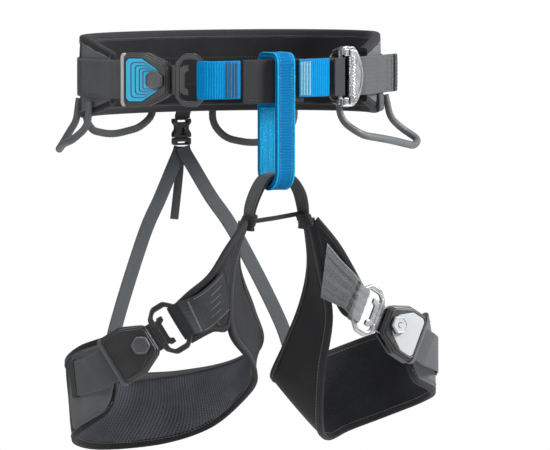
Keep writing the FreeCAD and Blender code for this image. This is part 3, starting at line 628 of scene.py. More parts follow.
class Nodes:
    """A material's node tree with short ways to add and join nodes."""

    def __init__(self, name: str) -> None:
        """Starts a material with only its shader and output."""
        self.material = bpy.data.materials.new(name)
        self.material.use_nodes = True
        self.tree = self.material.node_tree
        self.shader = self.tree.nodes["Principled BSDF"]

    def add(self, kind: str, inputs: Optional[dict] = None, **settings: object) -> bpy.types.Node:
        """Adds a node; inputs gives values, or output sockets to join."""
        node = self.tree.nodes.new(f"ShaderNode{kind}")
        for key, value in settings.items():
            setattr(node, key, value)
        for key, value in (inputs or {}).items():
            if isinstance(value, bpy.types.NodeSocket):
                self.tree.links.new(value, node.inputs[key])
            else:
                node.inputs[key].default_value = value
        return node

    def ramp(self, source: bpy.types.NodeSocket, stops: Sequence[tuple]) -> bpy.types.NodeSocket:
        """A colour ramp over a value."""
        node = self.add("ValToRGB", {"Fac": source})
        ramp = node.color_ramp
        while len(ramp.elements) < len(stops):
            ramp.elements.new(0.5)
        for element, (place, color) in zip(ramp.elements, stops):
            element.position = place
            element.color = color if len(color) == 4 else (*color, 1.0)
        return node.outputs["Color"]

    def cloth(self, along: float, across: float, turn: float = 0.0) -> bpy.types.NodeSocket:
        """The cloth's own coordinates, scaled along and across."""
        spot = self.add("TexCoord")
        mapping = self.add("Mapping", {"Vector": spot.outputs["UV"], "Scale": (along, across, 1.0),
                                       "Rotation": (0.0, 0.0, turn)})
        return mapping.outputs["Vector"]

    def noise(self, scale: float, detail: float = 4.0, roughness: float = 0.6,
              vector: Optional[bpy.types.NodeSocket] = None) -> bpy.types.NodeSocket:
        """Noise over the object, or over given coordinates."""
        source = vector or self.add("TexCoord").outputs["Object"]
        node = self.add("TexNoise",
                        {"Vector": source, "Scale": scale, "Detail": detail, "Roughness": roughness})
        return node.outputs["Fac"]

    def bump(self, height: bpy.types.NodeSocket, depth: float, strength: float = 1.0,
             under: Optional[bpy.types.NodeSocket] = None) -> bpy.types.NodeSocket:
        """A bump over an optional earlier one; the depth is in metres."""
        inputs = {"Height": height, "Distance": depth, "Strength": strength}
        if under:
            inputs["Normal"] = under
        return self.add("Bump", inputs).outputs["Normal"]

    def mix(self, factor: bpy.types.NodeSocket, first: object, second: object,
            blend: str = "MIX") -> bpy.types.NodeSocket:
        """A mix of two colours."""
        node = self.add("Mix", data_type="RGBA", blend_type=blend)
        self.tree.links.new(factor, node.inputs[0])
        for index, value in ((6, first), (7, second)):
            if isinstance(value, bpy.types.NodeSocket):
                self.tree.links.new(value, node.inputs[index])
            else:
                node.inputs[index].default_value = value
        return node.outputs[2]

    def shade(self, **sockets: object) -> bpy.types.Material:
        """Sets or joins the shader's sockets, with underscores for spaces, and returns the material."""
        for key, value in sockets.items():
            socket = self.shader.inputs[key.replace("_", " ")]
            if isinstance(value, bpy.types.NodeSocket):
                self.tree.links.new(value, socket)
            else:
                socket.default_value = value
        return self.material


@dataclass(frozen=True)
class Woven:
    """Ribbed webbing: threads in offset rows, with wear and stray lighter threads."""

    name: str
    color: Color
    light: Color
    rib: float = 1.1
    thread: float = 2.4
    depth: float = 0.00022
    roughness: float = 0.72
    fleck: Optional[Color] = None
    fleck_amount: float = 0.72
    sheen: float = 0.05
    gloss: float = 0.2

    def build(self) -> bpy.types.Material:
        """Makes the material."""
        nodes = Nodes(self.name)
        cloth = nodes.cloth(1.0, 1.0)
        weave = nodes.add("TexBrick", {"Vector": cloth, "Scale": 1.0, "Mortar Size": self.rib * 0.22,
                                       "Mortar Smooth": 1.0, "Brick Width": self.thread,
                                       "Row Height": self.rib}, offset=0.5)
        fine = nodes.noise(1.0, 3.0, 0.7, nodes.cloth(0.5, 3.0))
        broad = nodes.noise(26.0, 3.0)
        threads = nodes.ramp(fine, [(0.3, spread(self.color, 0.72)), (0.7, spread(self.light, 1.0))])
        worn = nodes.mix(broad, threads, spread(self.color, 1.0))
        shadow = nodes.ramp(weave.outputs["Fac"], [(0.0, (1, 1, 1)), (1.0, (0.42, 0.42, 0.42))])
        color = nodes.mix(weave.outputs["Fac"], worn, shadow, "MULTIPLY")
        if self.fleck:
            spots = nodes.noise(1.0, 2.0, 0.5, nodes.cloth(0.45, 0.9))
            mask = nodes.ramp(spots,
                              [(self.fleck_amount, (0, 0, 0)), (self.fleck_amount + 0.03, (1, 1, 1))])
            color = nodes.mix(mask, color, spread(self.fleck, 1.0))
        flat = nodes.ramp(weave.outputs["Fac"], [(0.0, (1, 1, 1)), (1.0, (0, 0, 0))])
        coarse = nodes.bump(flat, self.depth)
        normal = nodes.bump(fine, self.depth * 0.5, 0.8, coarse)
        return nodes.shade(Base_Color=color, Roughness=self.roughness, Normal=normal,
                           Sheen_Weight=self.sheen, Sheen_Roughness=0.5, Specular_IOR_Level=self.gloss)


@dataclass(frozen=True)
class Knit:
    """Smooth padded shell cloth: a fine knit with soft creases."""

    name: str
    color: Color
    light: Color
    pitch: float = 0.8
    depth: float = 0.00010
    crease: float = 0.0008
    roughness: float = 0.8
    sheen: float = 0.05

    def build(self) -> bpy.types.Material:
        """Makes the material."""
        nodes = Nodes(self.name)
        weave = nodes.add("TexBrick", {"Vector": nodes.cloth(1.0, 1.0, math.radians(45)), "Scale": 1.0,
                                       "Mortar Size": self.pitch * 0.2, "Mortar Smooth": 1.0,
                                       "Brick Width": self.pitch * 1.6, "Row Height": self.pitch},
                          offset=0.5)
        broad = nodes.noise(18.0, 5.0, 0.55)
        fine = nodes.noise(900.0, 2.0, 0.6)
        base = nodes.ramp(broad, [(0.3, spread(self.color, 0.85)), (0.72, spread(self.light, 1.0))])
        color = nodes.mix(fine, base, spread(self.color, 0.7))
        flat = nodes.ramp(weave.outputs["Fac"], [(0.0, (1, 1, 1)), (1.0, (0, 0, 0))])
        creased = nodes.bump(broad, self.crease, 0.5)
        normal = nodes.bump(flat, self.depth, 0.8, creased)
        return nodes.shade(Base_Color=color, Roughness=self.roughness, Normal=normal,
                           Sheen_Weight=self.sheen, Sheen_Roughness=0.45, Specular_IOR_Level=0.22)


@dataclass(frozen=True)
class AirMesh:
    """Perforated lining: round holes in a diamond grid, over a darker ground, with painted shade in the
    holes.
    """

    name: str
    color: Color
    light: Color
    pitch: float = 2.6
    depth: float = 0.0007

    def build(self) -> bpy.types.Material:
        """Makes the material."""
        nodes = Nodes(self.name)
        scale = 1.0 / self.pitch
        cells = nodes.add("TexVoronoi", {"Vector": nodes.cloth(scale, scale * 0.8, math.radians(45)),
                                         "Scale": 1.0, "Randomness": 0.0}, feature="F1",
                          voronoi_dimensions="2D")
        distance = cells.outputs["Distance"]
        broad = nodes.noise(22.0, 4.0)
        fine = nodes.noise(1.0, 3.0, 0.7, nodes.cloth(2.0, 2.0))
        ground = nodes.ramp(broad, [(0.3, spread(self.color, 0.85)), (0.75, spread(self.light, 1.0))])
        # The holes are painted dark: partly the darker ground, partly painted shade inside them.
        hole = nodes.ramp(distance, [(0.16, (0.12, 0.12, 0.12)), (0.32, (1, 1, 1))])
        color = nodes.mix(distance, ground, hole, "MULTIPLY")
        depth = nodes.ramp(distance, [(0.12, (0, 0, 0)), (0.34, (1, 1, 1))])
        pitted = nodes.bump(depth, self.depth)
        normal = nodes.bump(fine, self.depth * 0.2, 0.6, pitted)
        color = nodes.mix(hole, spread(self.color, 0.1), color)
        return nodes.shade(Base_Color=color, Roughness=0.85, Normal=normal, Sheen_Weight=0.04,
                           Specular_IOR_Level=0.12)


@dataclass(frozen=True)
class Moulded:
    """Moulded plastic or metal: fine grain, scuffs, and edges worn lighter."""

    name: str
    color: Color
    edge: Color
    roughness: float = 0.42
    coat: Coat = Coat.PLASTIC
    grain: float = 0.00004
    grain_scale: float = 1400.0
    brushed: bool = False

    def build(self) -> bpy.types.Material:
        """Makes the material."""
        nodes = Nodes(self.name)
        spot = nodes.add("TexCoord").outputs["Object"]
        if self.brushed:
            streak = nodes.add("Mapping",
                               {"Vector": spot, "Scale": (60.0, 60.0, 1800.0)}).outputs["Vector"]
            grain = nodes.noise(1.0, 3.0, 0.6, streak)
        else:
            grain = nodes.noise(self.grain_scale, 2.0, 0.5, spot)
        scuff = nodes.noise(70.0, 6.0, 0.7, spot)
        rough = nodes.add("MapRange", {"Value": scuff, "From Min": 0.35, "From Max": 0.7,
                                       "To Min": self.roughness * 0.8, "To Max": self.roughness * 1.3})
        corner = nodes.add("Bevel", {"Radius": 0.0007}, samples=4)
        face = nodes.add("NewGeometry")
        facing = nodes.add("VectorMath", {0: corner.outputs["Normal"], 1: face.outputs["Normal"]},
                           operation="DOT_PRODUCT")
        worn = nodes.ramp(facing.outputs["Value"], [(0.82, (1, 1, 1)), (0.985, (0, 0, 0))])
        patchy = nodes.mix(scuff, worn, (0, 0, 0, 1))
        color = nodes.mix(patchy, spread(self.color, 1.0), spread(self.edge, 1.0))
        rounded = nodes.bump(grain, self.grain, 0.6)
        return nodes.shade(Base_Color=color, Roughness=rough.outputs["Result"],
                           Metallic=self.coat.value, Normal=rounded)


@dataclass(frozen=True)
class Thread:
    """Sewing thread: a tight twist, painted darker in its grooves and lighter on its crests as shade
    and highlight.
    """

    name: str
    color: Color

    def build(self) -> bpy.types.Material:
        """Makes the material."""
        nodes = Nodes(self.name)
        twist = nodes.add("TexWave", {"Vector": nodes.cloth(1.0, 1.0, math.radians(30)), "Scale": 0.9,
                                      "Distortion": 0.6})
        # Colour follows the twist's bump: painted shade in the grooves, painted highlight on the
        # crests.
        color = nodes.ramp(twist.outputs["Fac"],
                           [(0.0, spread(self.color, 0.6)), (1.0, spread(self.color, 1.2))])
        normal = nodes.bump(twist.outputs["Fac"], 0.00006)
        return nodes.shade(Base_Color=color, Roughness=0.6, Normal=normal, Sheen_Weight=0.2)


class Palette:
    """Every material of the harness."""

    def __init__(self) -> None:
        """Builds the materials."""
        self.charcoal = Knit("charcoal_cloth", (0.0115, 0.012, 0.0135), (0.021, 0.0215, 0.024)).build()
        self.shell = Knit("shell_cloth", (0.085, 0.09, 0.095), (0.14, 0.147, 0.155)).build()
        self.mesh = AirMesh("mesh_cloth", (0.062, 0.066, 0.080), (0.095, 0.10, 0.118), 2.1).build()
        # The lining mesh painted darker: a shaded copy of the same cloth, for the left leg's lining.
        self.shaded_mesh = AirMesh("shaded_mesh_cloth", (0.013, 0.0135, 0.016), (0.023, 0.024, 0.028),
                                 2.1).build()
        self.waist_mesh = AirMesh("waist_mesh_cloth", (0.008, 0.008, 0.0095),
                                  (0.013, 0.0135, 0.0155), 1.5, 0.0002).build()
        self.tape = Woven("edge_tape", (0.012, 0.012, 0.0135), (0.028, 0.028, 0.032), 0.7, 1.4,
                          0.00012).build()
        # A lighter copy of the edge tape: painted highlight for the right leg's upper edge, where the
        # top light falls.
        self.highlight_tape = Woven("painted_highlight_tape", (0.075, 0.08, 0.085), (0.11, 0.115, 0.12), 0.7, 1.4,
                                0.00012).build()
        self.grey = Woven("grey_webbing", (0.061, 0.066, 0.070), (0.117, 0.124, 0.132), 1.3,
                          2.6).build()
        self.dark = Woven("dark_webbing", (0.026, 0.028, 0.032), (0.045, 0.048, 0.055), 1.2,
                          2.4).build()
        self.blue = Woven("blue_webbing", (0.0, 0.20, 0.50), (0.0, 0.36, 0.74), 1.3, 2.2, 0.00026,
                          0.6, sheen=0.0, gloss=0.05).build()
        self.belay = Woven("belay_webbing", (0.0, 0.128, 0.33), (0.0, 0.22, 0.51), 1.2, 2.0,
                           0.00024, 0.6, (0.06, 0.42, 0.72), 0.70, 0.0, 0.06).build()
        self.belay_edge = Woven("belay_edge_webbing", (0.0, 0.30, 0.62), (0.02, 0.44, 0.80), 0.9, 1.2,
                                0.00024, 0.6, (0.15, 0.6, 0.9), 0.64, 0.0, 0.06).build()
        self.tie = Woven("tie_in_webbing", (0.016, 0.016, 0.018), (0.030, 0.030, 0.033), 1.2, 2.2,
                         0.0001).build()
        self.yoke = Woven("yoke_webbing", (0.015, 0.016, 0.018), (0.031, 0.033, 0.037), 1.2, 2.2,
                          0.0003).build()
        # The yoke webbing painted lighter grey with dark flecks: a lit copy for the left leg, which the
        # strong side light falls on.
        self.lit_melange = Woven("lit_melange_webbing", (0.16, 0.167, 0.174), (0.37, 0.38, 0.392), 1.5, 2.4,
                             0.00045, 0.8, (0.03, 0.03, 0.033), 0.62).build()
        self.elastic = Woven("elastic_webbing", (0.070, 0.077, 0.083), (0.105, 0.113, 0.12), 0.9,
                             1.6).build()
        self.black = Moulded("black_plastic", (0.014, 0.014, 0.0155), (0.10, 0.10, 0.105), 0.36).build()
        self.knob = Moulded("knob_plastic", (0.055, 0.056, 0.06), (0.16, 0.165, 0.175), 0.4).build()
        self.blue_plate = Moulded("blue_plastic", (0.0, 0.36, 0.62), (0.04, 0.50, 0.80), 0.42).build()
        self.deep_blue = Moulded("deep_blue_plastic", (0.004, 0.03, 0.07), (0.01, 0.06, 0.12),
                                 0.4).build()
        # Black plastic painted light grey: the lit copy for the left leg's buckle, and a painted
        # highlight on the waist buckle's rim.
        self.lit_grey_plate = Moulded("grey_plastic", (0.32, 0.33, 0.34), (0.8, 0.81, 0.83), 0.42,
                                  Coat.PLASTIC).build()
        # Dark metal painted as bright steel: the lit copy for the adjuster and the left leg's frame, on
        # the side the strong light falls on.
        self.lit_silver = Moulded("steel", (0.40, 0.405, 0.42), (0.85, 0.86, 0.88), 0.30, Coat.METAL,
                              0.00003, 1400.0, True).build()
        self.black_metal = Moulded("black_metal", (0.016, 0.016, 0.018), (0.30, 0.30, 0.31), 0.32,
                                   Coat.PLASTIC, 0.00003).build()
        self.loop = Moulded("loop_plastic", (0.062, 0.067, 0.072), (0.12, 0.125, 0.13), 0.55,
                            Coat.PLASTIC, 0.00006, 900.0).build()
        self.black_thread = Thread("black_thread", (0.012, 0.012, 0.014)).build()
        self.grey_thread = Thread("grey_thread", (0.13, 0.135, 0.14)).build()
        self.blue_thread = Thread("blue_thread", (0.002, 0.16, 0.42)).build()
        self.navy_thread = Thread("navy_thread", (0.006, 0.035, 0.085)).build()
        self.light_thread = Thread("light_thread", (0.10, 0.36, 0.55)).build()
        self.pale_thread = Thread("pale_thread", (0.22, 0.50, 0.60)).build()


# ---- the studio ----------------------------------------------------------------------------------


@dataclass(frozen=True)
class Studio:
    """Camera, lamps, backdrop and floor, in metres."""

    target: tuple = (0.0408, -0.0217, -0.1586)
    eye: tuple = (-2.765, -5.306, 0.260)
    lens: float = 373.0
    floor_level: float = -0.46
    floor_radius: float = 3.0
    floor_sides: int = 48
    soft_light: float = 0.30
    lamps: tuple = (("key", (1.35, -0.85, 0.6), 0.5, 52.0), ("fill", (-1.6, -0.8, 0.35), 0.7, 9.0),
                    ("top", (-0.3, -0.3, 1.5), 0.7, 26.0))

    def backdrop(self) -> None:
        """White to the camera, with softer light on the object and in reflections."""
        world = bpy.data.worlds.new("studio")
        bpy.context.scene.world = world
        world.use_nodes = True
        tree = world.node_tree
        tree.nodes.clear()
        path = tree.nodes.new("ShaderNodeLightPath")
        seen = tree.nodes.new("ShaderNodeBackground")
        seen.inputs["Color"].default_value = (1.0, 1.0, 1.0, 1.0)
        soft = tree.nodes.new("ShaderNodeBackground")
        soft.inputs["Color"].default_value = (1.0, 1.0, 1.0, 1.0)
        soft.inputs["Strength"].default_value = self.soft_light
        mix = tree.nodes.new("ShaderNodeMixShader")
        output = tree.nodes.new("ShaderNodeOutputWorld")
        tree.links.new(path.outputs["Is Camera Ray"], mix.inputs[0])
        tree.links.new(soft.outputs[0], mix.inputs[1])
        tree.links.new(seen.outputs[0], mix.inputs[2])
        tree.links.new(mix.outputs[0], output.inputs["Surface"])

    def aim(self, place: tuple) -> Euler:
        """The turn that faces the harness from a place."""
        return (Vector(self.target) - Vector(place)).to_track_quat("-Z", "Y").to_euler()

    def lamp(self, name: str, place: tuple, size: float, power: float) -> None:
        """Adds a soft square lamp that faces the harness."""
        data = bpy.data.lights.new(name, "AREA")
        data.shape = "SQUARE"
        data.size = size
        data.energy = power
        lamp = bpy.data.objects.new(name, data)
        lamp.location = place
        lamp.rotation_euler = self.aim(place)
        bpy.context.scene.collection.objects.link(lamp)

    def floor(self) -> None:
        """A pale round floor under the harness, white from the camera."""
        nodes = Nodes("floor")
        path = nodes.add("LightPath")
        shine = nodes.add("Emission", {"Color": (1.0, 1.0, 1.0, 1.0), "Strength": 1.0})
        mix = nodes.add("MixShader")
        output = nodes.tree.nodes["Material Output"]
        nodes.shade(Base_Color=(0.8, 0.8, 0.8, 1.0), Roughness=0.9)
        nodes.tree.links.new(path.outputs["Is Camera Ray"], mix.inputs[0])
        nodes.tree.links.new(nodes.shader.outputs[0], mix.inputs[1])
        nodes.tree.links.new(shine.outputs[0], mix.inputs[2])
        nodes.tree.links.new(mix.outputs[0], output.inputs["Surface"])
        circle = Outline.circle(self.floor_radius, sides=self.floor_sides)
        ring = [(x, y, self.floor_level) for x, y in circle]
        mesh = bpy.data.meshes.new("floor")
        mesh.from_pydata(ring, [], [tuple(range(self.floor_sides))])
        mesh.materials.append(nodes.material)
        floor = bpy.data.objects.new("floor", mesh)
        bpy.context.scene.collection.objects.link(floor)

    def camera(self) -> None:
        """A long lens a little above the harness, to its right front."""
        data = bpy.data.cameras.new("camera")
        data.lens = self.lens
        data.sensor_width = 36.0
        camera = bpy.data.objects.new("camera", data)
        camera.location = self.eye
        camera.rotation_euler = self.aim(self.eye)
        bpy.context.scene.collection.objects.link(camera)
        bpy.context.scene.camera = camera

    def build(self) -> None:
        """Sets the whole studio."""
        bpy.context.scene.view_settings.view_transform = "Standard"
        self.backdrop()
        for lamp in self.lamps:
            self.lamp(*lamp)
        self.floor()
        self.camera()


# ---- sub-assemblies ------------------------------------------------------------------------------


class Piece:
    """What every sub-assembly shares: the palette, and how a finished mesh joins the harness."""

    def __init__(self, palette: Palette) -> None:
        """Keeps the palette."""
        self.palette = palette

    def place(self, made: bpy.types.Object, body: str, slot: str, *nodes: str) -> bpy.types.Object:
        """Gives a mesh its body and hides the nodes it stands for."""
        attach(made, body)
        if nodes:
            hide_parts(*nodes)
        log.info("%s: %d faces", made.name, len(made.data.polygons))
        return made


def wrinkle(seed: float, depth: float, along: float = 22.0, across: float = 1.6) -> Relief:
    """A soft uneven surface: noise over the length in mm and the share of the width."""
    def relief(distance: float, share: float) -> float:
        """The height at a place."""
        return depth * noise.noise(Vector((distance / along, share * across, seed)))
    return relief


def ribs(count: int, depth: float) -> Relief:
    """Raised ribs that run the length of the webbing."""
    def relief(distance: float, share: float) -> float:
        """The height at a share of the width."""
        return depth * math.cos(2 * math.pi * share * count)
    return relief


def cross_ribs(pitch: float, depth: float) -> Relief:
    """Ribs across a strip, at a pitch in mm."""
    def relief(distance: float, share: float) -> float:
        """The height at a distance."""
        return depth * math.cos(2 * math.pi * distance / pitch)
    return relief


def edge_tape(mesher: Mesher, band: Band, inner: float, outer: float, reach: float = 6.0,
              bulge: float = 2.4, finish: int = 0) -> None:
    """Adds the folded tape over both edges of a pad.

    Args:
        mesher: the mesh to add to.
        band: the pad's strip.
        inner: the level of the pad's inner face.
        outer: the level of its outer face.
        reach: how far the tape comes over each face.
        bulge: how far it stands out past the edge.
        finish: the tape's material index.
    """
    thick = 0.7
    level, half = (inner + outer) / 2, (outer - inner) / 2 + thick
    for share, way in EDGES:
        rings = []
        for index in range(len(band.lower)):
            edge = band.lower[index] if share == 0.0 else band.upper[index]
            across = (band.upper[index] - band.lower[index]).normalized() * way
            normal = band.normals[index]
            ring = [edge + across * reach + normal * (level + half - thick * 1.2)]
            ring.append(edge + across * reach + normal * (level + half - 0.1))
            ring.append(edge + across * (reach * 0.5) + normal * (level + half + 0.15))
            for step in range(9):
                turn = math.pi * step / 8
                ring.append(edge - across * (bulge * math.sin(turn))
                            + normal * (level + half * math.cos(turn)))
            ring.append(edge + across * (reach * 0.5) + normal * (level - half - 0.15))
            ring.append(edge + across * reach + normal * (level - half + 0.1))
            ring.append(edge + across * reach + normal * (level - half + thick * 1.2))
            rings.append(ring)
        mesher.sweep(rings, finish)


@dataclass(frozen=True)
class BeltSizes:
    """Sizes of the waist belt in mm."""

    pad_inner: float = -9.3
    pad_outer: float = -0.3
    lining: float = 1.6
    shell_sweep: float = 26.0
    tape_reach: float = 7.0
    seam_inset: float = 4.6
    half_webbing: float = 20.0
    tie_top: float = 20.2
    tie_bottom: float = -25.0


class WaistBelt(Piece):
    """The padded band, the load webbing over it, the tie-in webbing, tabs, loose end and anchor."""

    sizes = BeltSizes()

    @staticmethod
    def half_height(angle: float) -> float:
        """Half the pad's height at an angle."""
        distance = min(angle - PAD_LEFT_END, PAD_RIGHT_END - angle)
        share = max(0.0, min(1.0, distance / PAD_END_SWEEP))
        full, end = PAD_HALF_HEIGHT, PAD_END_HALF_HEIGHT
        return end + (full - end) * math.sin(share * math.pi / 2)

    def pad_band(self, start: float = PAD_LEFT_END, end: float = PAD_RIGHT_END) -> Band:
        """The pad's strip between two angles."""
        count = round((end - start) / 1.5)
        angles = [start + (end - start) * index / count for index in range(count + 1)]
        lower = [waist_point(angle) - Vector((0, 0, self.half_height(angle))) for angle in angles]
        upper = [waist_point(angle) + Vector((0, 0, self.half_height(angle))) for angle in angles]
        return Band(lower, upper)

    def pad(self) -> None:
        """The padded band with its lining, edge tape, quilting and seams."""
        sizes = self.sizes
        band = self.pad_band()
        body = Mesher()
        relief = wrinkle(3.0, 0.8)
        strip(body, band, Section(sizes.pad_inner, sizes.pad_outer - 0.9, 0.8, 14), relief)
        for start, end in ((PAD_LEFT_END, PAD_LEFT_END + sizes.shell_sweep),
                           (PAD_RIGHT_END - sizes.shell_sweep, PAD_RIGHT_END)):
            cover = self.pad_band(start, end).inset(3.0, 3.0)
            strip(body, cover, Section(-0.9, 0.1, 0.4, 10), wrinkle(7.0, 0.35, 14.0), 1)
        made = body.build("waist_pad_cloth", [self.palette.charcoal, self.palette.shell])
        self.place(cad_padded(made), "waist", "charcoal_cloth", "waist_pad")

        lining = Mesher()
        inner = sizes.pad_inner - 0.1
        flipped = Band(band.upper, band.lower, 1.0)
        strip(lining, flipped.inset(2.0, 2.0),
              Section(-inner - 0.2, -inner + sizes.lining * 0.6, 0.9, 14), wrinkle(11.0, 0.5))
        for share in (0.33, 0.67):
            Seam(0.3, 2.6, 1.2).along(lining, flipped, share, 0.0,
                                      -inner + sizes.lining * 0.6 + 0.75, finish=1)
        made = lining.build("waist_lining_mesh", [self.palette.waist_mesh, self.palette.black_thread])
        self.place(made, "waist", "mesh_cloth", "waist_lining")

        tape = Mesher()
        edge_tape(tape, band, sizes.pad_inner - 0.8, sizes.pad_outer - 0.5, sizes.tape_reach, 2.5)
        for share, way in EDGES:
            Seam().along(tape, band, share, way * sizes.seam_inset, sizes.pad_outer + 0.25, finish=1)
            Seam().along(tape, band, share, way * sizes.seam_inset, sizes.pad_inner - 1.5, finish=1)
        made = tape.build("waist_edge_tape", [self.palette.tape, self.palette.grey_thread])
        self.place(made, "waist", "edge_tape", "waist_binding")

    def webbing(self) -> None:
        """The load webbing from the adjuster round the back to the buckle's housing."""
        half = self.sizes.half_webbing
        line = [ADJUSTER.world(x, 0, -3.4) for x in (5.0, 16.0, 27.0)]
        line += waist_run(PAD_LEFT_END + 4.0, 262.0, 1.3)
        line += [waist_point(angle, 2.3, 0.9) for angle in (266.0, 270.0, 274.0, 278.0)]
        line += [WAIST_BUCKLE.world(x, 0, 0) for x in (-90.0, -70.0, -50.0)]
        band = Band.upright(line, -half, half)
        mesher = Mesher()
        strip(mesher, band.resampled(0.75), Section(-1.0, 0.75, 0.15, 8, 4), cross_ribs(3.0, 0.24))
        Seam(0.3, 2.8, 1.4).edges(mesher, band, 3.4, 1.0, 40.0, band.length - 45.0, 1)
        for distance in (62.0, 66.5, band.length - 92.0, band.length - 87.0):
            Seam(0.26).bartack(mesher, band, distance, 1.05, 3.5, 2.6, finish=1)
        made = mesher.build("waist_webbing_cloth", [self.palette.grey, self.palette.black_thread])
        self.place(made, "waist", "grey_webbing", "waist_webbing")

    def tie_in(self) -> None:
        """The tall dark webbing that the belay loop hangs from."""
        sizes = self.sizes
        line = smooth_line([Vector(p) for p in ((-46, -115, 0), (-22, -114.4, 0), (2, -113, 0),
                                                (27, -110.5, 0))], 8)
        band = Band.upright(line, sizes.tie_bottom, sizes.tie_top)
        mesher = Mesher()
        strip(mesher, band, Section(-1.0, 0.8, 0.1, 40, 4), wrinkle(21.0, 0.25, 12.0))
        Seam(0.3, 2.4, 1.2).along(mesher, band, 0.0, 3.4, 1.0, 4.0, band.length - 22.0, 1)
        Seam(0.3, 2.4, 1.2).along(mesher, band, 0.0, 1.4, 1.0, 4.0, band.length - 22.0, 1)
        made = mesher.build("tie_in_webbing", [self.palette.tie, self.palette.black_thread])
        self.place(made, "waist", "dark_webbing", "tie_in_strap")

    def tab(self, name: str, line: Sequence[Vector], tacks: Sequence[float], node: str,
            stitches: bpy.types.Material) -> None:
        """A blue tab over the tie-in webbing: ribs across it and dense columns of stitching."""
        half = self.sizes.half_webbing - 0.4
        band = Band.upright(line, -half, half).resampled(0.45)
        mesher = Mesher()

        def relief(distance: float, share: float) -> float:
            """Ribs across the tab with a fine rib along it."""
            across = 0.22 * math.cos(2 * math.pi * distance / 2.7)
            return across + 0.05 * math.cos(2 * math.pi * share * 14)

        strip(mesher, band, Section(-1.0, 0.65, 0.1, 30, 4), relief)
        for distance in tacks:
            Seam(0.5).bartack(mesher, band, distance, 1.05, 2.0, 2.5, 1.3, 1)
        Seam(0.28, 2.2, 0.9).edges(mesher, band, 1.6, 0.9, min(tacks), max(tacks), 2)
        made = mesher.build(name, [self.palette.blue, stitches, self.palette.navy_thread])
        self.place(made, "waist", "blue_webbing", node)

    def tabs(self) -> None:
        """Both blue tabs; the right one is folded round the tongue frame's bar."""
        fold = [WAIST_BUCKLE.world(x, 0, z) for x, z in fold_line(10.0, 2.0, 10.0, 7.0)]
        fold += [Vector(p) for p in ((-81, -118.0, 0), (-64, -119.0, 0), (-51, -118.2, 0))]
        length = Band.upright(fold, -1, 1).length
        self.tab("right_blue_tab_cloth", fold, [length - 4.5 - step * 3.9 for step in range(4)],
                 "right_blue_tab", self.palette.navy_thread)
        line = smooth_line([Vector(p) for p in ((20, -114.0, 0), (40, -110.9, 0), (59, -107.3, 0))], 8)
        self.tab("left_blue_tab_cloth", line, [2.4 + step * 3.6 for step in range(4)], "left_blue_tab",
                 self.palette.pale_thread)

    def adjuster_webbing(self) -> None:
        """The dark strap round the adjuster's inner bar and the loose strap that leaves it."""
        half = self.sizes.half_webbing
        line = [Vector((30, -108.2, 0)), Vector((46, -106.4, 0))]
        line += [ADJUSTER.world(-x, 0, z) for x, z in fold_line(8.5, 1.5, 13.0, 15.0)]
        mesher = Mesher()
        strip(mesher, Band.upright(line, -half, half).resampled(1.0), Section(-1.0, 0.8, 0.1, 36, 4),
              ribs(9, 0.16))
        made = mesher.build("adjuster_strap_cloth", [self.palette.dark])
        self.place(made, "waist", "dark_webbing", "adjuster_strap")

        line = [ADJUSTER.world(x, 0, z) for x, z in ((7.0, 3.2), (15.0, 3.2), (24.0, 3.4))]
        line += waist_run(50.0, 58.0, 5.6) + [waist_point(62, 6.4), waist_point(66, 8.0),
                                              waist_point(71, 13.0)]
        band = Band.upright(line, -half, half).resampled(1.5)
        mesher = Mesher()
        strip(mesher, band, Section(-1.0, 0.8, 0.15, 36, 4), ribs(9, 0.16))
        for distance in (band.length - 4.0, band.length - 16.0):
            Seam(0.28).bartack(mesher, band, distance, 1.0, 2.5, 2.6, finish=1)
        made = mesher.build("loose_strap_cloth", [self.palette.grey, self.palette.black_thread])
        self.place(made, "waist", "grey_webbing", "waist_strap_tail")

        band = Band.upright([waist_point(71.2, 13.3), waist_point(72.6, 14.8), waist_point(74.0, 16.5)],
                            -half, half).resampled(1.0)
        mesher = Mesher()
        strip(mesher, band, Section(-2.0, 1.9, 0.3, 36, 6), ribs(9, 0.16))
        Seam(0.3).across(mesher, band, band.length * 0.4, 2.1, 2.5, 1)
        made = mesher.build("strap_end_cloth", [self.palette.dark, self.palette.grey_thread])
        self.place(made, "waist", "dark_webbing", "waist_strap_end")

    def anchor(self) -> None:
        """The folded anchor that holds the left front gear loop, with its stitched slot."""
        band = Band.upright(waist_run(57.0, 69.0), -40, -20.5)
        mesher = Mesher()
        strip(mesher, band, Section(0.3, 3.0, 0.6, 16, 5), ribs(5, 0.12))
        for distance in (3.0, band.length - 3.0):
            Seam(0.3).bartack(mesher, band, distance, 3.7, 2.0, 2.4, finish=1)
        middle = band.part(band.length * 0.3, band.length * 0.7).inset(8.0, 8.6)
        strip(mesher, middle, Section(3.3, 3.9, 0.1, 6, 3), None, 1)
        made = mesher.build("loop_anchor_cloth", [self.palette.grey, self.palette.black_thread])
        self.place(made, "waist", "grey_webbing", "left_loop_anchor")

    def build(self) -> None:
        """Builds the whole belt."""
        self.pad()
        self.webbing()
        self.tie_in()
        self.tabs()
        self.adjuster_webbing()
        self.anchor()


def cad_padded(made: bpy.types.Object) -> bpy.types.Object:
    """Hands the piece back as it is."""
    return made


def fold_line(bar_near: float, half_bar: float, reach_under: float, reach_over: float) -> list[Point]:
    """The mid line of a strap folded round a bar, in a buckle's frame.

    Args:
        bar_near: where the bar's near side is.
        half_bar: half the bar's thickness.
        reach_under: how far the lower layer runs past the bar's near side.
        reach_over: how far the upper layer runs.

    Returns:
        (x, z) points round the bar.
    """
    lift = half_bar + GAP + WEBBING / 2
    line = [(bar_near + reach_under, -lift), (bar_near + reach_under * 0.5, -lift)]
    for step in range(9):
        turn = math.pi * step / 8
        line.append((bar_near + 0.6 - math.sin(turn) * lift * 0.85, -lift * math.cos(turn)))
    line += [(bar_near + reach_over * 0.5, lift), (bar_near + reach_over, lift)]
    return line


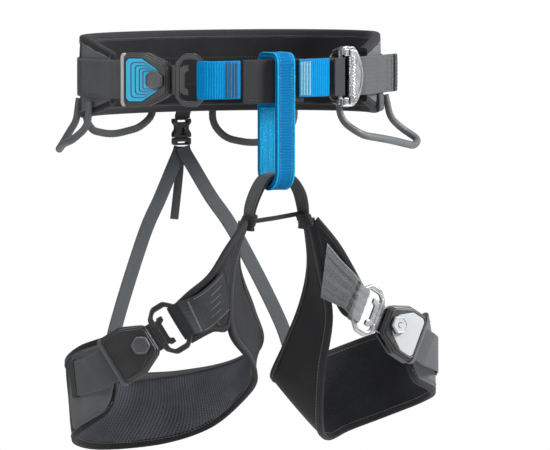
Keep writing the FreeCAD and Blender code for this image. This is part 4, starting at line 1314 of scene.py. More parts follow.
class BelayLoop(Piece):
    """The sewn ring: two ribbed layers with raised edges, a stitched inner panel and bar-tacks."""

    centre = Vector((0.0, -101.5, -44.6))
    half_width = 11.0
    radius = 19.5
    top = 68.9
    bottom = 49.4
    fold = 8.5
    fold_steps = 8
    side_steps = 16
    turn_steps = 24
    layer_step = 1.2
    edge_width = 3.0
    panel = (0.285, 0.51)
    tack_run = 176.0
    tack_pitch = 3.4
    tack_count = 5

    def ring_line(self, radius: float) -> list[Vector]:
        """The ring's mid line, from the top of the front side round to the start."""
        grown = radius - self.radius
        fold = self.fold + grown
        high = self.top + grown
        turns = [math.pi / 2 * step / self.fold_steps for step in range(self.fold_steps + 1)]
        profile = [(fold - radius - fold * math.cos(t), high - fold + fold * math.sin(t))
                   for t in turns]
        profile += [(-y, z) for y, z in reversed(profile)]
        rise = high - fold + self.bottom
        sides = range(1, self.side_steps)
        profile += [(radius, high - fold - rise * step / self.side_steps) for step in sides]
        turns = [math.pi * step / self.turn_steps for step in range(self.turn_steps + 1)]
        profile += [(radius * math.cos(t), -self.bottom - radius * math.sin(t)) for t in turns]
        profile += [(-radius, -self.bottom + rise * step / self.side_steps) for step in sides]
        return [self.centre + Vector((0, y, z)) for y, z in profile]

    def layer(self, radius: float, half: float) -> Band:
        """A closed strip of the ring at a radius and half width."""
        line = self.ring_line(radius)
        line.append(line[0].copy())
        shift = Vector((half, 0, 0))
        return Band([p - shift for p in line], [p + shift for p in line], -1.0).resampled(0.55)

    @staticmethod
    def relief(distance: float, share: float) -> float:
        """Ribs across the webbing with a fine rib along it."""
        return 0.17 * math.cos(2 * math.pi * distance / 2.9) + 0.06 * math.cos(2 * math.pi * share * 9)

    @staticmethod
    def edge_relief(distance: float, share: float) -> float:
        """Closer ribs on the lighter edges."""
        return 0.12 * math.cos(2 * math.pi * distance / 1.9)

    def build(self) -> None:
        """Builds the ring."""
        mesher = Mesher()
        inner = self.layer(self.radius - self.layer_step, self.half_width)
        outer = self.layer(self.radius + self.layer_step, self.half_width - GAP)
        for band in (inner, outer):
            section = Section(-1.15, 0.95, 0.1, 20, 5)
            rings = [section.ring(band, index, self.relief) for index in range(len(band.lower) - 1)]
            mesher.sweep(rings, 0, closed=True)
        facing = Band(inner.upper, inner.lower, inner.outward)
        start, end = (facing.length * share for share in self.panel)
        piece = facing.part(start, end).inset(0.5, 0.5)
        strip(mesher, piece.resampled(0.6), Section(1.0, 1.45, 0.1, 16, 3), self.edge_relief, 2)
        for share in (0.2, 0.5, 0.8):
            Seam(0.3, 2.0, 0.8).along(mesher, piece, share, 0.0, 1.7, 1.0, piece.length - 1.0, 3)
        far = 2 * self.half_width - self.edge_width
        for low, high in ((0.2, far), (far, 0.2)):
            edge = outer.inset(low, high)
            section = Section(0.7, 1.35, 0.12, 5, 3)
            rings = [section.ring(edge, index, self.edge_relief)
                     for index in range(len(edge.lower) - 1)]
            mesher.sweep(rings, 2, closed=True)
        for share, inset in ((0.0, 4.2), (1.0, -4.2)):
            Seam(0.26, 1.9, 1.6).along(mesher, outer, share, inset, 1.2, finish=3)
        for step in range(self.tack_count):
            distance = outer.length - self.tack_run + step * self.tack_pitch
            Seam(0.32).bartack(mesher, outer, distance, 1.35, 3.2, 2.4, 0.8, 1)
        palette = self.palette
        made = mesher.build("belay_loop_webbing",
                            [palette.belay, palette.blue_thread, palette.belay_edge,
                                                   palette.light_thread])
        self.place(made, "belay_loop", "blue_webbing", "belay_loop")


class Bridge(Piece):
    """The two layers of webbing that join the leg loops, and the strap across under them."""

    rows = [(-27, -94, -158, 9), (-27, -94, -147, 9), (-26, -95.5, -134, 11), (-22, -99, -119, 12),
            (-15, -101, -106, 12), (-7, -101.5, -101.9, 12), (8, -101.5, -101.9, 12),
            (17, -101, -106, 12),
            (27, -99, -119, 12), (33, -95.5, -134, 11), (35, -94, -147, 9), (35, -94, -158, 9)]
    cuffs = ((-29.0, -0.35), (37.0, 0.35))
    cuff_y = -95.0
    cuff_bottom = -155.0
    cuff_height = 14.0
    cuff_radii = (5.8, 11.6)
    cuff_steps = 14
    cuff_sides = 24

    def build(self) -> None:
        """Builds both layers, the cuffs and the cross strap."""
        lower = smooth_line([Vector((x, y - half, z)) for x, y, z, half in self.rows], 8)
        upper = smooth_line([Vector((x, y + half, z)) for x, y, z, half in self.rows], 8)
        band = Band(lower, upper)
        inner = Mesher()
        strip(inner, band, Section(-1.0, 0.7, 0.1, 24, 4), ribs(6, 0.18))
        made = inner.build("bridge_inner_webbing", [self.palette.dark])
        self.place(made, "waist", "dark_webbing", "bridge_inner")
        outer = Mesher()
        strip(outer, band, Section(1.3, 3.0, 0.1, 24, 4), ribs(6, 0.18))
        Seam(0.28, 2.6, 1.2).edges(outer, band, 2.4, 3.2, 4.0, band.length - 4.0, 1)
        for distance in (5.0, 10.0, band.length - 10.0, band.length - 5.0):
            Seam(0.28).bartack(outer, band, distance, 3.25, 1.5, 2.6, finish=1)
        made = outer.build("bridge_outer_webbing", [self.palette.grey, self.palette.black_thread])
        self.place(made, "waist", "grey_webbing", "bridge_outer")

        cuffs = Mesher()
        height = self.cuff_height
        thick, wide = self.cuff_radii
        for x, lean in self.cuffs:
            rings = []
            for step in range(self.cuff_steps + 1):
                rise = step / self.cuff_steps
                swell = 1.0 + 0.14 * math.sin(math.pi * rise) + 0.05 * math.cos(2 * math.pi * step / 3)
                if step in (0, self.cuff_steps):
                    swell = 0.86
                centre = Vector((x + lean * height * (0.5 - rise), self.cuff_y,
                                 self.cuff_bottom + height * rise))
                turns = [2 * math.pi * side / self.cuff_sides for side in range(self.cuff_sides)]
                rings.append([centre + Vector((thick * swell * math.cos(turn),
                                               wide * swell * math.sin(turn), 0))
                              for turn in turns])
            cuffs.sweep(rings)
        made = cuffs.build("bridge_cuffs", [self.palette.tape])
        self.place(made, "waist", "dark_webbing")

        ends = [Vector((-25.4, -94, -151)), Vector((4, -94.4, -147.9)), Vector((33.1, -94, -144))]
        strap = Band(ends, [end + Vector((0, 0, 5)) for end in ends]).resampled(2.0)
        mesher = Mesher()
        strip(mesher, strap, Section(-0.9, 0.8, 0.1, 8, 3), ribs(2, 0.15))
        made = mesher.build("cross_strap_webbing", [self.palette.dark])
        self.place(made, "waist", "dark_webbing", "cross_strap")


@dataclass(frozen=True)
class LegShape:
    """The rows of one leg loop in mm, each as (lower edge, upper edge), and the side it faces."""

    side: str
    outward: float
    pad: tuple
    yoke: tuple
    yoke_strap: tuple
    strap_end: tuple
    buckle: Placement


LEFT_LEG = LegShape(
    "left", -1.0,
    (((44, -101, -146), (44, -87, -148)), ((54, -104, -197), (57, -72, -195)),
     ((66, -101, -250), (58, -52, -240)), ((64, -88, -310), (54, -24, -285)),
     ((76, -62, -366), (54, 5, -318)), ((104, -26, -385), (78, 32, -322)),
     ((144, 2, -380), (118, 44, -310)), ((182, -10, -366), (168, 26, -290)),
     ((204, -46, -349), (200, -32, -267)), ((196, -80, -336), (192, -72, -256)),
     ((158, -98, -320), (154, -98, -264))),
    (((44.6, -103, -150), (46, -106, -146)), ((54.6, -107, -197), (68, -114, -175)),
     ((71, -109, -240), (90, -117, -212)), ((84, -113, -251), (98, -116, -226))),
    (((82, -129, -208), (69, -122, -241)), ((67, -120.2, -190), (57, -115.0, -234)),
     ((54, -112.8, -172), (48, -109.4, -229))),
    (((193, -99, -276), (188, -102, -312)), ((204, -80, -280), (203, -83, -317)),
     ((210, -58, -285), (210, -60, -322))),
    LEFT_LEG_BUCKLE,
)
RIGHT_LEG = LegShape(
    "right", 1.0,
    (((-36, -101, -146), (-36, -87, -148)), ((-58, -107, -197), (-36, -80, -195)),
     ((-62, -113, -258), (-22, -86, -240)), ((-36, -104, -290), (-4, -70, -276)),
     ((-18, -84, -314), (-14, -34, -298)), ((-14, -46, -340), (-50, 14, -312)),
     ((-30, -6, -370), (-88, 38, -316)), ((-70, 20, -386), (-118, 46, -317)),
     ((-140, 18, -388), (-160, 34, -308)), ((-190, -20, -376), (-196, -14, -292)),
     ((-201, -62, -358), (-199, -56, -274)), ((-176, -84, -336), (-174, -80, -262))),
    (((-36.8, -103, -150), (-39, -106, -146)), ((-58.8, -111, -197), (-65, -115, -172)),
     ((-65, -118, -252), (-88, -119, -200)), ((-86, -120, -257), (-112, -120, -217)),
     ((-109, -120, -267), (-127, -118, -230))),
    (((-95, -130, -256), (-110, -132, -219)), ((-80, -127, -247), (-90, -128, -208)),
     ((-66, -122.5, -237), (-74, -123, -196))),
    (((-208, -72, -322), (-212, -68, -286)), ((-210, -50, -326), (-212, -46, -290))),
    RIGHT_LEG_BUCKLE,
)


class LegLoop(Piece):
    """One padded leg loop with its yoke, the webbing through its buckle and the strap behind."""

    strap_width = 38.0
    corner = 16.0
    wing_length = 62.0
    rim_start = 0.1

    def __init__(self, palette: Palette, shape: LegShape) -> None:
        """Keeps the palette and the loop's shape."""
        super().__init__(palette)
        self.shape = shape
        self.body = f"{shape.side}_leg"

    def pad(self) -> None:
        """The padded band: outer shell, lining mesh, edge tape with seams."""
        shape = self.shape
        band = Band.rows(shape.pad, 12, shape.outward).resampled(2.0).rounded(self.corner, False, True)
        shell = Mesher()
        strip(shell, band, Section(0.6, 4.0, 1.3, 14), wrinkle(5.0, 0.7))
        wing = band.part(band.length - self.wing_length,
                         band.length - 3.0).resampled(2.0).inset(4.0, 4.0)
        strip(shell, wing.rounded(14.0, True, True), Section(4.4, 5.6, 0.9, 12),
              wrinkle(17.0, 0.9, 16.0), 1)
        Seam(0.28).edges(shell, wing, 3.2, 6.3, 12.0, wing.length - 12.0, 2)
        made = shell.build(f"{shape.side}_leg_pad_cloth",
                           [self.palette.charcoal, self.palette.shell, self.palette.black_thread])
        self.place(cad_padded(made), self.body, "charcoal_cloth", f"{shape.side}_leg_pad")

        flipped = Band(band.upper, band.lower, shape.outward)
        lining = Mesher()
        strip(lining, flipped.inset(1.6, 1.6), Section(-0.3, 0.6, 1.0, 14), wrinkle(9.0, 0.5))
        # The left leg's lining takes the shaded copy of the mesh: painted shade.
        mesh = self.palette.shaded_mesh if shape.side == "left" else self.palette.mesh
        made = lining.build(f"{shape.side}_leg_lining_mesh", [mesh])
        self.place(made, self.body, "mesh_cloth", f"{shape.side}_leg_lining")

        tape = Mesher()
        edge_tape(tape, band, -0.2, 4.6, 5.5, 2.6)
        # On the right leg a strip of the lighter tape runs along the upper edge: a painted highlight
        # where the top light falls.
        if shape.side == "right":
            rim = band.part(band.length * self.rim_start, band.length - 8.0)
            rim = Band([low.lerp(high, 0.9) for low, high in zip(rim.lower, rim.upper)],
                       [low.lerp(high, 0.995) for low, high in zip(rim.lower, rim.upper)], rim.outward)
            strip(tape, Band(rim.upper, rim.lower, rim.outward), Section(1.3, 2.6, 0.4, 6, 3), None, 2)
        for share, way in EDGES:
            Seam().along(tape, band, share, way * 3.8, 5.55, finish=1)
            Seam().along(tape, band, share, way * 3.8, -1.15, finish=1)
        made = tape.build(f"{shape.side}_leg_edge_tape",
                          [self.palette.tape, self.palette.grey_thread, self.palette.highlight_tape])
        self.place(made, self.body, "edge_tape", f"{shape.side}_leg_binding")

    def yoke(self) -> None:
        """The reinforced front yoke with its edge tape and stitch lines."""
        shape = self.shape
        band = Band.rows(shape.yoke, 10, -shape.outward).inset(-2.2, -1.0)
        yoke = Mesher()
        strip(yoke, band, Section(-1.4, 1.6, 0.8, 12), wrinkle(13.0, 0.4, 16.0))
        edge_tape(yoke, band.inset(1.6, 1.6), -1.4, 1.9, 4.4, 2.0, 1)
        Seam(0.3).edges(yoke, band, 4.6, 2.55, finish=2)
        for share in (0.4, 0.6):
            Seam(0.3, 2.2, 0.8).along(yoke, band, share, 0.0, 2.45, band.length * 0.35, finish=2)
        for share in (0.45, 0.6, 0.75):
            Seam(0.3).bartack(yoke, band, band.length * share, 2.5, 8.0, 3.2, finish=2)
        made = yoke.build(f"{shape.side}_yoke_cloth",
                          [self.palette.charcoal, self.palette.tape, self.palette.black_thread])
        self.place(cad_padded(made), self.body, "charcoal_cloth", f"{shape.side}_yoke_pad")

    def straps(self) -> None:
        """The yoke webbing folded through the frame, and the strap behind the housing."""
        shape = self.shape
        fold = fold_line(10.0, 2.0, 8.0, 9.0)
        lower, upper = shape.buckle.strap(fold, self.strap_width)
        tail = shape.yoke_strap
        join_low, join_high = lower[-1], upper[-1]
        lower += smooth_line([join_low] + [Vector(low) for low, high in tail], 6)[1:]
        upper += smooth_line([join_high] + [Vector(high) for low, high in tail], 6)[1:]
        band = Band(lower, upper)
        mesher = Mesher()
        left = shape.side == "left"
        strip(mesher, band.resampled(0.9), Section(-1.0, 0.9, 0.5, 30, 5),
              self.folds if left else ribs(8, 0.1))
        edge = band.length
        for distance in (edge - 43.0, edge - 40.5) if left else (edge - 50.0,):
            Seam(0.42 if left else 0.3).bartack(mesher, band, distance, 1.5, 1.5, 2.4, 1.2, 1)
        for share in (0.2, 0.36, 0.64, 0.8) if left else (0.25, 0.42, 0.58, 0.75):
            start, end = (edge - 36.0, edge - 2.0) if left else (edge - 34.0 + 14.0 * share,
                                                                 edge - 16.0 + 14.0 * share)
            Seam(0.45 if left else 0.3, 2.6, 0.7).along(mesher, band, share, 0.0, 1.5, start, end, 1)
        Seam(0.3).edges(mesher, band, 2.4, 1.35, edge - 44.0, edge - 2.0, 1)
        # The left leg's strap takes the lit copy of the yoke webbing: painted light.
        cloth, stitches = ((self.palette.lit_melange, self.palette.black_thread) if left else
                           (self.palette.yoke, self.palette.grey_thread))
        made = mesher.build(f"{shape.side}_yoke_strap_cloth", [cloth, stitches])
        self.place(made, self.body, "grey_webbing", f"{shape.side}_yoke_webbing")

        lower, upper = shape.buckle.strap([(-50.0, 0), (-70.0, 0), (-90.0, 0)], self.strap_width)
        join_low, join_high = lower[-1], upper[-1]
        lower += smooth_line([join_low] + [Vector(low) for low, high in shape.strap_end], 6)[1:]
        upper += smooth_line([join_high] + [Vector(high) for low, high in shape.strap_end], 6)[1:]
        band = Band(lower, upper)
        mesher = Mesher()
        strip(mesher, band, Section(-1.0, 0.8, 0.12, 34, 4), ribs(8, 0.16))
        for distance in (band.length - 5.0, band.length - 12.0):
            Seam(0.3).bartack(mesher, band, distance, 1.05, 2.0, 2.6, finish=1)
        self.keeper(mesher, band, band.length - 7.0)
        made = mesher.build(f"{shape.side}_leg_strap_cloth",
                            [self.palette.grey, self.palette.black_thread, self.palette.dark])
        self.place(made, self.body, "grey_webbing", f"{shape.side}_leg_strap")

    @staticmethod
    def folds(distance: float, share: float) -> float:
        """Puffed lengthwise folds between the stitch lines of the yoke webbing, with cross ribs."""
        rib = 0.14 * math.cos(2 * math.pi * distance / 2.6)
        return 0.55 * abs(math.sin(math.pi * share * 4.0)) + rib

    def keeper(self, mesher: Mesher, band: Band, distance: float) -> None:
        """A dark elastic keeper round a strap."""
        part = band.part(distance - 5.0, distance + 5.0).resampled(1.5).inset(-1.6, -1.6)
        strip(mesher, part, Section(-1.8, 2.6, 0.4, 20, 6), None, 2)
        Seam(0.26).across(mesher, part, 2.0, 3.0, 3.0, 1)
        Seam(0.26).across(mesher, part, part.length - 2.0, 3.0, 3.0, 1)

    def build(self) -> None:
        """Builds the leg loop."""
        self.pad()
        self.yoke()
        self.straps()


class QuickBuckle(Piece):
    """A quick-connect buckle: two-part housing, face plate, hexagonal knob, latch and tongue frame."""

    knob_x = -35.0
    knob_radius = 10.6
    spindle_radius = 4.0
    spindle_hole = 4.4
    base_levels = (-4.6, -1.9)
    rail_levels = (-2.4, 2.4)
    cover_levels = ((2.5, 6.2), (5.6, 8.6), (8.0, 10.3))
    rim_levels = (3.4, 10.0)
    plate_levels = (8.4, 10.2)
    contour_levels = (10.0, 10.5)
    contour_shares = (0.84, 0.69, 0.55, 0.43)
    contour_width = 0.035
    latch_levels = (2.7, 4.5)

    def __init__(self, palette: Palette, name: str, place: Placement, frame_body: str,
                 plate: bpy.types.Material, lines: bpy.types.Material, knob: bpy.types.Material,
                 tongue: bpy.types.Material, slots: tuple[str, str]) -> None:
        """Keeps the buckle's place, its materials and the slots of plate and tongue."""
        super().__init__(palette)
        self.name = name
        self.at = place
        self.frame_body = frame_body
        self.plate_finish = plate
        self.line_finish = lines
        self.knob_finish = knob
        self.tongue_finish = tongue
        self.slots = slots
        self.contours = plate is palette.blue_plate
        # The rim at the housing's back is painted lighter than the housing: a painted highlight on its
        # bevel.
        self.rim_highlight_finish = palette.lit_grey_plate if self.contours else palette.knob

    def nose(self, back: float, front: float, wide: float, narrow: float, shoulder: float,
             radius: float = 2.0) -> list[Point]:
        """The housing's outline: square behind, tapered towards the knob.

        Args:
            back: the rear edge's x.
            front: the nose's x.
            wide: half the width behind the shoulder.
            narrow: half the width at the nose.
            shoulder: the x where the taper starts.
            radius: the corners' radius.

        Returns:
            The outline's points.
        """
        cut = 3.0
        half = [(back, wide - cut), (back + cut, wide), (shoulder, wide),
                (front - cut, narrow + cut * 0.9), (front, narrow - 1.0)]
        return Outline.rounded(half[::-1] + [(x, -y) for x, y in half], radius)

    def housing(self) -> None:
        """The base with its channel, and the cover with its stepped and bevelled rim."""
        base = Moulding(self.at)
        outline = self.nose(-71.5, -20.5, 27.6, 15.0, -44.0)
        base.plate([outline], *self.base_levels, 0.8, self.palette.black)
        for side in (-1, 1):
            rail = Outline.rounded([(-70.8, side * 21.0), (-36.0, side * 21.0), (-42.0, side * 25.6),
                                    (-46.0, side * 27.4), (-68.0, side * 27.4),
                                    (-70.8, side * 25.0)], 1.4)
            base.plate([rail if side > 0 else rail[::-1]], *self.rail_levels, 0.35, self.palette.black)
        made = base.join(f"{self.name}_housing_base_shell")
        self.place(made, f"{self.name}_housing", "black_plastic", f"{self.name}_housing_base")

        cover = Moulding(self.at)
        hole = Outline.circle(self.spindle_hole, self.knob_x)
        low, middle, high = self.cover_levels
        cover.plate([outline, hole], *low, 0.9, self.palette.black)
        cover.plate([self.nose(-70.2, -21.4, 26.2, 14.2, -45.0), hole], *middle, 1.3,
                    self.palette.black)
        cover.plate([self.nose(-68.4, -23.4, 24.2, 12.8, -46.0),
                     self.nose(-66.6, -31.0, 22.4, 9.0, -49.0, 1.4)], *high, 0.9, self.palette.black)
        # The rim takes the lighter finish: a painted highlight.
        rim = [(-72.2, -24.0), (-70.4, -27.4), (-66.8, -27.4), (-68.2, -23.0), (-68.2, 23.0),
               (-66.8, 27.4), (-70.4, 27.4), (-72.2, 24.0)]
        cover.plate([Outline.rounded(rim[::-1], 1.2)], *self.rim_levels, 1.1, self.rim_highlight_finish)
        made = cover.join(f"{self.name}_housing_cover_shell")
        self.place(made, f"{self.name}_housing", "black_plastic", f"{self.name}_housing_cover")

    def plate(self) -> None:
        """The face plate: tapered towards the knob, with raised contour lines on the blue one."""
        hole = Outline.circle(self.spindle_hole, self.knob_x)
        plate = Moulding(self.at)
        outline = self.nose(-66.2, -30.4, 22.0, 8.8, -49.0, 1.4)
        plate.plate([outline, hole], *self.plate_levels, 0.4, self.plate_finish)
        for share in self.contour_shares if self.contours else ():
            ring = self.toward_knob(outline, share)
            inner = self.toward_knob(outline, share - self.contour_width)
            plate.plate([ring, inner], *self.contour_levels, 0.12, self.line_finish)
        made = plate.join(f"{self.name}_contour_plate")
        self.place(made, f"{self.name}_housing", self.slots[0], f"{self.name}_face_plate")

    def toward_knob(self, outline: Sequence[Point], share: float) -> list[Point]:
        """An outline shrunk towards the knob."""
        x = self.knob_x
        return [(x + (u - x) * share, v * share) for u, v in outline]

    def knob(self) -> None:
        """The hexagonal knob: stepped head, dished top with a raised rim, and its spindle."""
        x = self.knob_x
        knob = Moulding(self.at)
        knob.plate([Outline.circle(self.spindle_radius, x)], 4.9, 12.0, 0.3, self.palette.black)
        knob.plate([Outline.regular(6, self.knob_radius, 1.4, x)], 10.7, 13.4, 0.5, self.palette.black)
        knob.plate([Outline.regular(6, self.knob_radius - 0.6, 1.4, x),
                    Outline.regular(6, self.knob_radius - 2.6, 1.4, x)], 12.6, 15.9, 0.85,
                   self.knob_finish)
        knob.plate([Outline.regular(6, self.knob_radius - 2.2, 1.4, x)], 12.9, 15.1, 0.4,
                   self.knob_finish)
        arc = [Vector((x + 3.2 * math.cos(turn), 3.2 * math.sin(turn))) for turn in
               (math.radians(-120 + step * 24) for step in range(11))]
        inner = [Vector((x + (p.x - x) * 0.74, p.y * 0.74)) for p in reversed(arc)]
        knob.plate([[(p.x, p.y) for p in arc + inner]], 14.9, 15.4, 0.1, self.palette.black)
        made = knob.join(f"{self.name}_hex_knob")
        self.place(made, f"{self.name}_knob", "black_plastic", f"{self.name}_knob")

    def latch(self) -> None:
        """The latch plate inside the cover."""
        latch = Moulding(self.at)
        x = self.knob_x
        latch.plate([Outline.box(20, 24, 2.0, x)], *self.latch_levels, 0.3, self.palette.black_metal)
        made = latch.join(f"{self.name}_latch_plate")
        self.place(made, f"{self.name}_latch", "black_metal", f"{self.name}_latch")

    def tongue(self) -> None:
        """The frame the webbing is folded through, with its blade and a notch for the latch."""
        tongue = Moulding(self.at)
        window = Outline.octagon(20.5, 43.0, 4.0, 2.0, -0.2)
        tongue.plate([Outline.octagon(33, 55, 9.5, 3.0), window], -2.0, 2.0, 1.25, self.tongue_finish)
        half = [(-16.0, 13.4), (-8.4, 13.4), (-7.6, 15.4), (-1.6, 15.4), (-1.6, 10.2), (-5.4, 8.4)]
        neck = Outline.rounded(half[::-1] + [(x, -y) for x, y in half], 1.1)
        tongue.plate([neck], -1.5, 1.5, 0.5, self.tongue_finish)
        for side in (-1, 1):
            shoulder = Outline.box(3.2, 9.0, 1.3, -12.6, side * 14.5)
            tongue.plate([shoulder], 1.2, 2.9, 0.6, self.tongue_finish)
        blade = Outline.rounded([(-15.0, 15.0), (-30.5, 15.0), (-34.6, 10.5), (-34.6, -10.5),
                                 (-30.5, -15.0), (-15.0, -15.0)], 1.4)
        tongue.plate([blade, Outline.box(6.0, 12.0, 1.2, -26.0)], -1.0, 1.0, 0.35, self.tongue_finish)
        made = tongue.join(f"{self.name}_tongue_shell")
        self.place(made, self.frame_body, self.slots[1], f"{self.name}_tongue_frame")

    def build(self) -> None:
        """Builds the buckle."""
        self.housing()
        self.plate()
        self.knob()
        self.latch()
        self.tongue()


class AdjusterBuckle(Piece):
    """The steel ladder-lock with its toothed slide bar and backing plate."""

    hole_count = 13
    hole_pitch = 3.4
    tooth_count = 17
    tooth_pitch = 2.4

    def build(self) -> None:
        """Builds the three parts."""
        # Frame and slide bar take the lit copy of the metal, painted bright for the strong side light.
        frame_part = Moulding(ADJUSTER)
        window = Outline.box(17, 46, 2.0)
        frame_part.plate([Outline.octagon(27, 62, 3, 2.2), window], -1.5, 1.0, 0.6, self.palette.lit_silver)
        for side in (-1, 1):
            frame_part.plate([Outline.box(13.0, 7.0, 1.2, -6.0, side * 26.4)], 0.6, 4.4, 0.8,
                             self.palette.lit_silver)
            frame_part.plate([Outline.box(15.5, 2.2, 0.9, -4.4, side * 30.2)], -1.2, 5.2, 0.7,
                             self.palette.lit_silver)
            frame_part.plate([Outline.box(6.6, 7.6, 1.4, -7.4, side * 25.4)], 4.0, 6.4, 1.0,
                             self.palette.lit_silver)
            wire = [(-20.0, side * 27.0, -3.0), (-13.0, side * 30.5, 0.5), (-2.0, side * 31.6, 2.2),
                    (7.0, side * 29.0, 1.5)]
            frame_part.rod(wire, 0.7, self.palette.black_metal)
        made = frame_part.join("adjuster_steel_frame")
        self.place(made, "waist", "steel", "adjuster_frame")

        bar = Moulding(ADJUSTER)
        bow = [(17.5 - 11.0 * (y / 28.0) ** 2, y) for y in range(-28, 29, 2)]
        outline = Outline.rounded(bow + [(-1.8, 28.0), (-1.8, -28.0)], 1.2, 3)
        rows = [(step - self.hole_count // 2) * self.hole_pitch for step in range(self.hole_count)]
        holes = [Outline.circle(0.9, 4.0, row, 12) for row in rows]
        bar.plate([outline] + holes, 4.7, 6.6, 0.5, self.palette.lit_silver)
        rim = [(x - 2.6, y * 0.92) for x, y in bow]
        bar.plate([Outline.rounded(bow + rim[::-1], 0.8, 2)], 6.2, 7.6, 0.6, self.palette.lit_silver)
        for row in rows:
            bar.plate([Outline.box(3.0, 1.5, 0.5, 2.0, row)], 6.2, 7.6, 0.45, self.palette.lit_silver)
        bar.plate([Outline.box(2.2, 44.0, 0.9, -1.2)], 2.2, 6.0, 0.6, self.palette.lit_silver)
        for step in range(self.tooth_count):
            row = (step - self.tooth_count // 2) * self.tooth_pitch
            bar.plate([Outline.box(1.6, 1.1, 0.4, -2.6, row)], 4.2, 6.0, 0.3, self.palette.lit_silver)
        made = bar.join("adjuster_slide_bar")
        self.place(made, "adjuster_bar", "black_metal", "adjuster_bar")

        backing = Moulding(ADJUSTER)
        backing.plate([Outline.octagon(46, 50, 6, 3.0)], -7.6, -5.1, 0.9, self.palette.black)
        backing.plate([Outline.octagon(40, 44, 5, 3.0), Outline.octagon(37, 41, 5, 3.0)], -5.5,
                      -4.7, 0.3, self.palette.black)
        made = backing.join("adjuster_backing")
        self.place(made, "waist", "black_plastic", "adjuster_plate")


@dataclass(frozen=True)
class GearRoute:
    """One gear loop: its node, its route in mm and whether it is a moulded one."""

    node: str
    points: tuple
    moulded: bool


class GearLoops(Piece):
    """The moulded front gear loops and the soft rear ones."""

    sides = 18
    corner_share = 0.45

    @staticmethod
    def moulded_radius(share: float) -> float:
        """A tube that swells a little at its middle."""
        return 3.5 + 0.6 * math.sin(math.pi * share)

    @staticmethod
    def sheath_radius(share: float) -> float:
        """A cord sheath with a fine rib."""
        return 3.9 + 0.12 * math.cos(share * 2 * math.pi * 70)

    def routes(self) -> list[GearRoute]:
        """All four routes."""
        made = [
            GearRoute("left_front_gear_loop",
                      ((81, -87.5, -16), (82, -89, -46), (104, -96, -62), (150, -74, -69),
                       (196, -44, -78),
                       (207, -34, -72), (190, -27, -60), (174, -31, -48), (168, -32, -24)), True),
            GearRoute("right_front_gear_loop",
                      ((-172.6, -14, -24), (-174, -13, -50), (-185, 0, -64), (-180, 34, -70),
                       (-168, 68, -78), (-160, 75, -72), (-157, 66, -60), (-152, 59, -48),
                       (-149.6, 57.4, -24)), True),
        ]
        for side, name, start, end, drop in ((1, "left", 12, 44, -80), (-1, "right", 12, 51, -66)):
            inner, mid, outer = (waist_point(180 - side * turn, 4.3)
                                 for turn in (start, (start + end) / 2, end))
            made.append(GearRoute(f"{name}_rear_gear_loop", (
                (inner.x, inner.y, -24), (inner.x, inner.y + 1, drop * 0.72),
                (inner.x + side * 16, inner.y + 1, drop + 6), (mid.x, mid.y + 2, drop),
                (outer.x - side * 12, outer.y + 10, drop + 6),
                (outer.x, outer.y + 1, drop * 0.72), (outer.x, outer.y, -24)), False))
        return made

    def build(self) -> None:
        """Builds every gear loop."""
        for route in self.routes():
            line = corner_line([Vector(point) for point in route.points], self.corner_share, 8)
            line = Band(line, [p + Vector((0, 0, 1)) for p in line]).resampled(1.6).lower
            mesher = Mesher()
            size, finish = ((self.moulded_radius, self.palette.loop) if route.moulded else
                            (self.sheath_radius, self.palette.elastic))
            mesher.sweep(tube_rings(line, size, self.sides))
            made = mesher.build(f"{route.node}_tube", [finish])
            self.place(made, "waist", "loop_plastic", route.node)


def corner_line(points: Sequence[Vector], share: float, steps: int) -> list[Vector]:
    """A polyline with its corners rounded by a share of their shorter leg."""
    line = [points[0]]
    for before, corner, after in zip(points, points[1:], points[2:]):
        trim = share * min((before - corner).length, (after - corner).length)
        start = corner + (before - corner).normalized() * trim
        end = corner + (after - corner).normalized() * trim
        for step in range(steps + 1):
            t = step / steps
            line.append(start * (1 - t) ** 2 + corner * 2 * t * (1 - t) + end * t**2)
    line.append(points[-1])
    return line


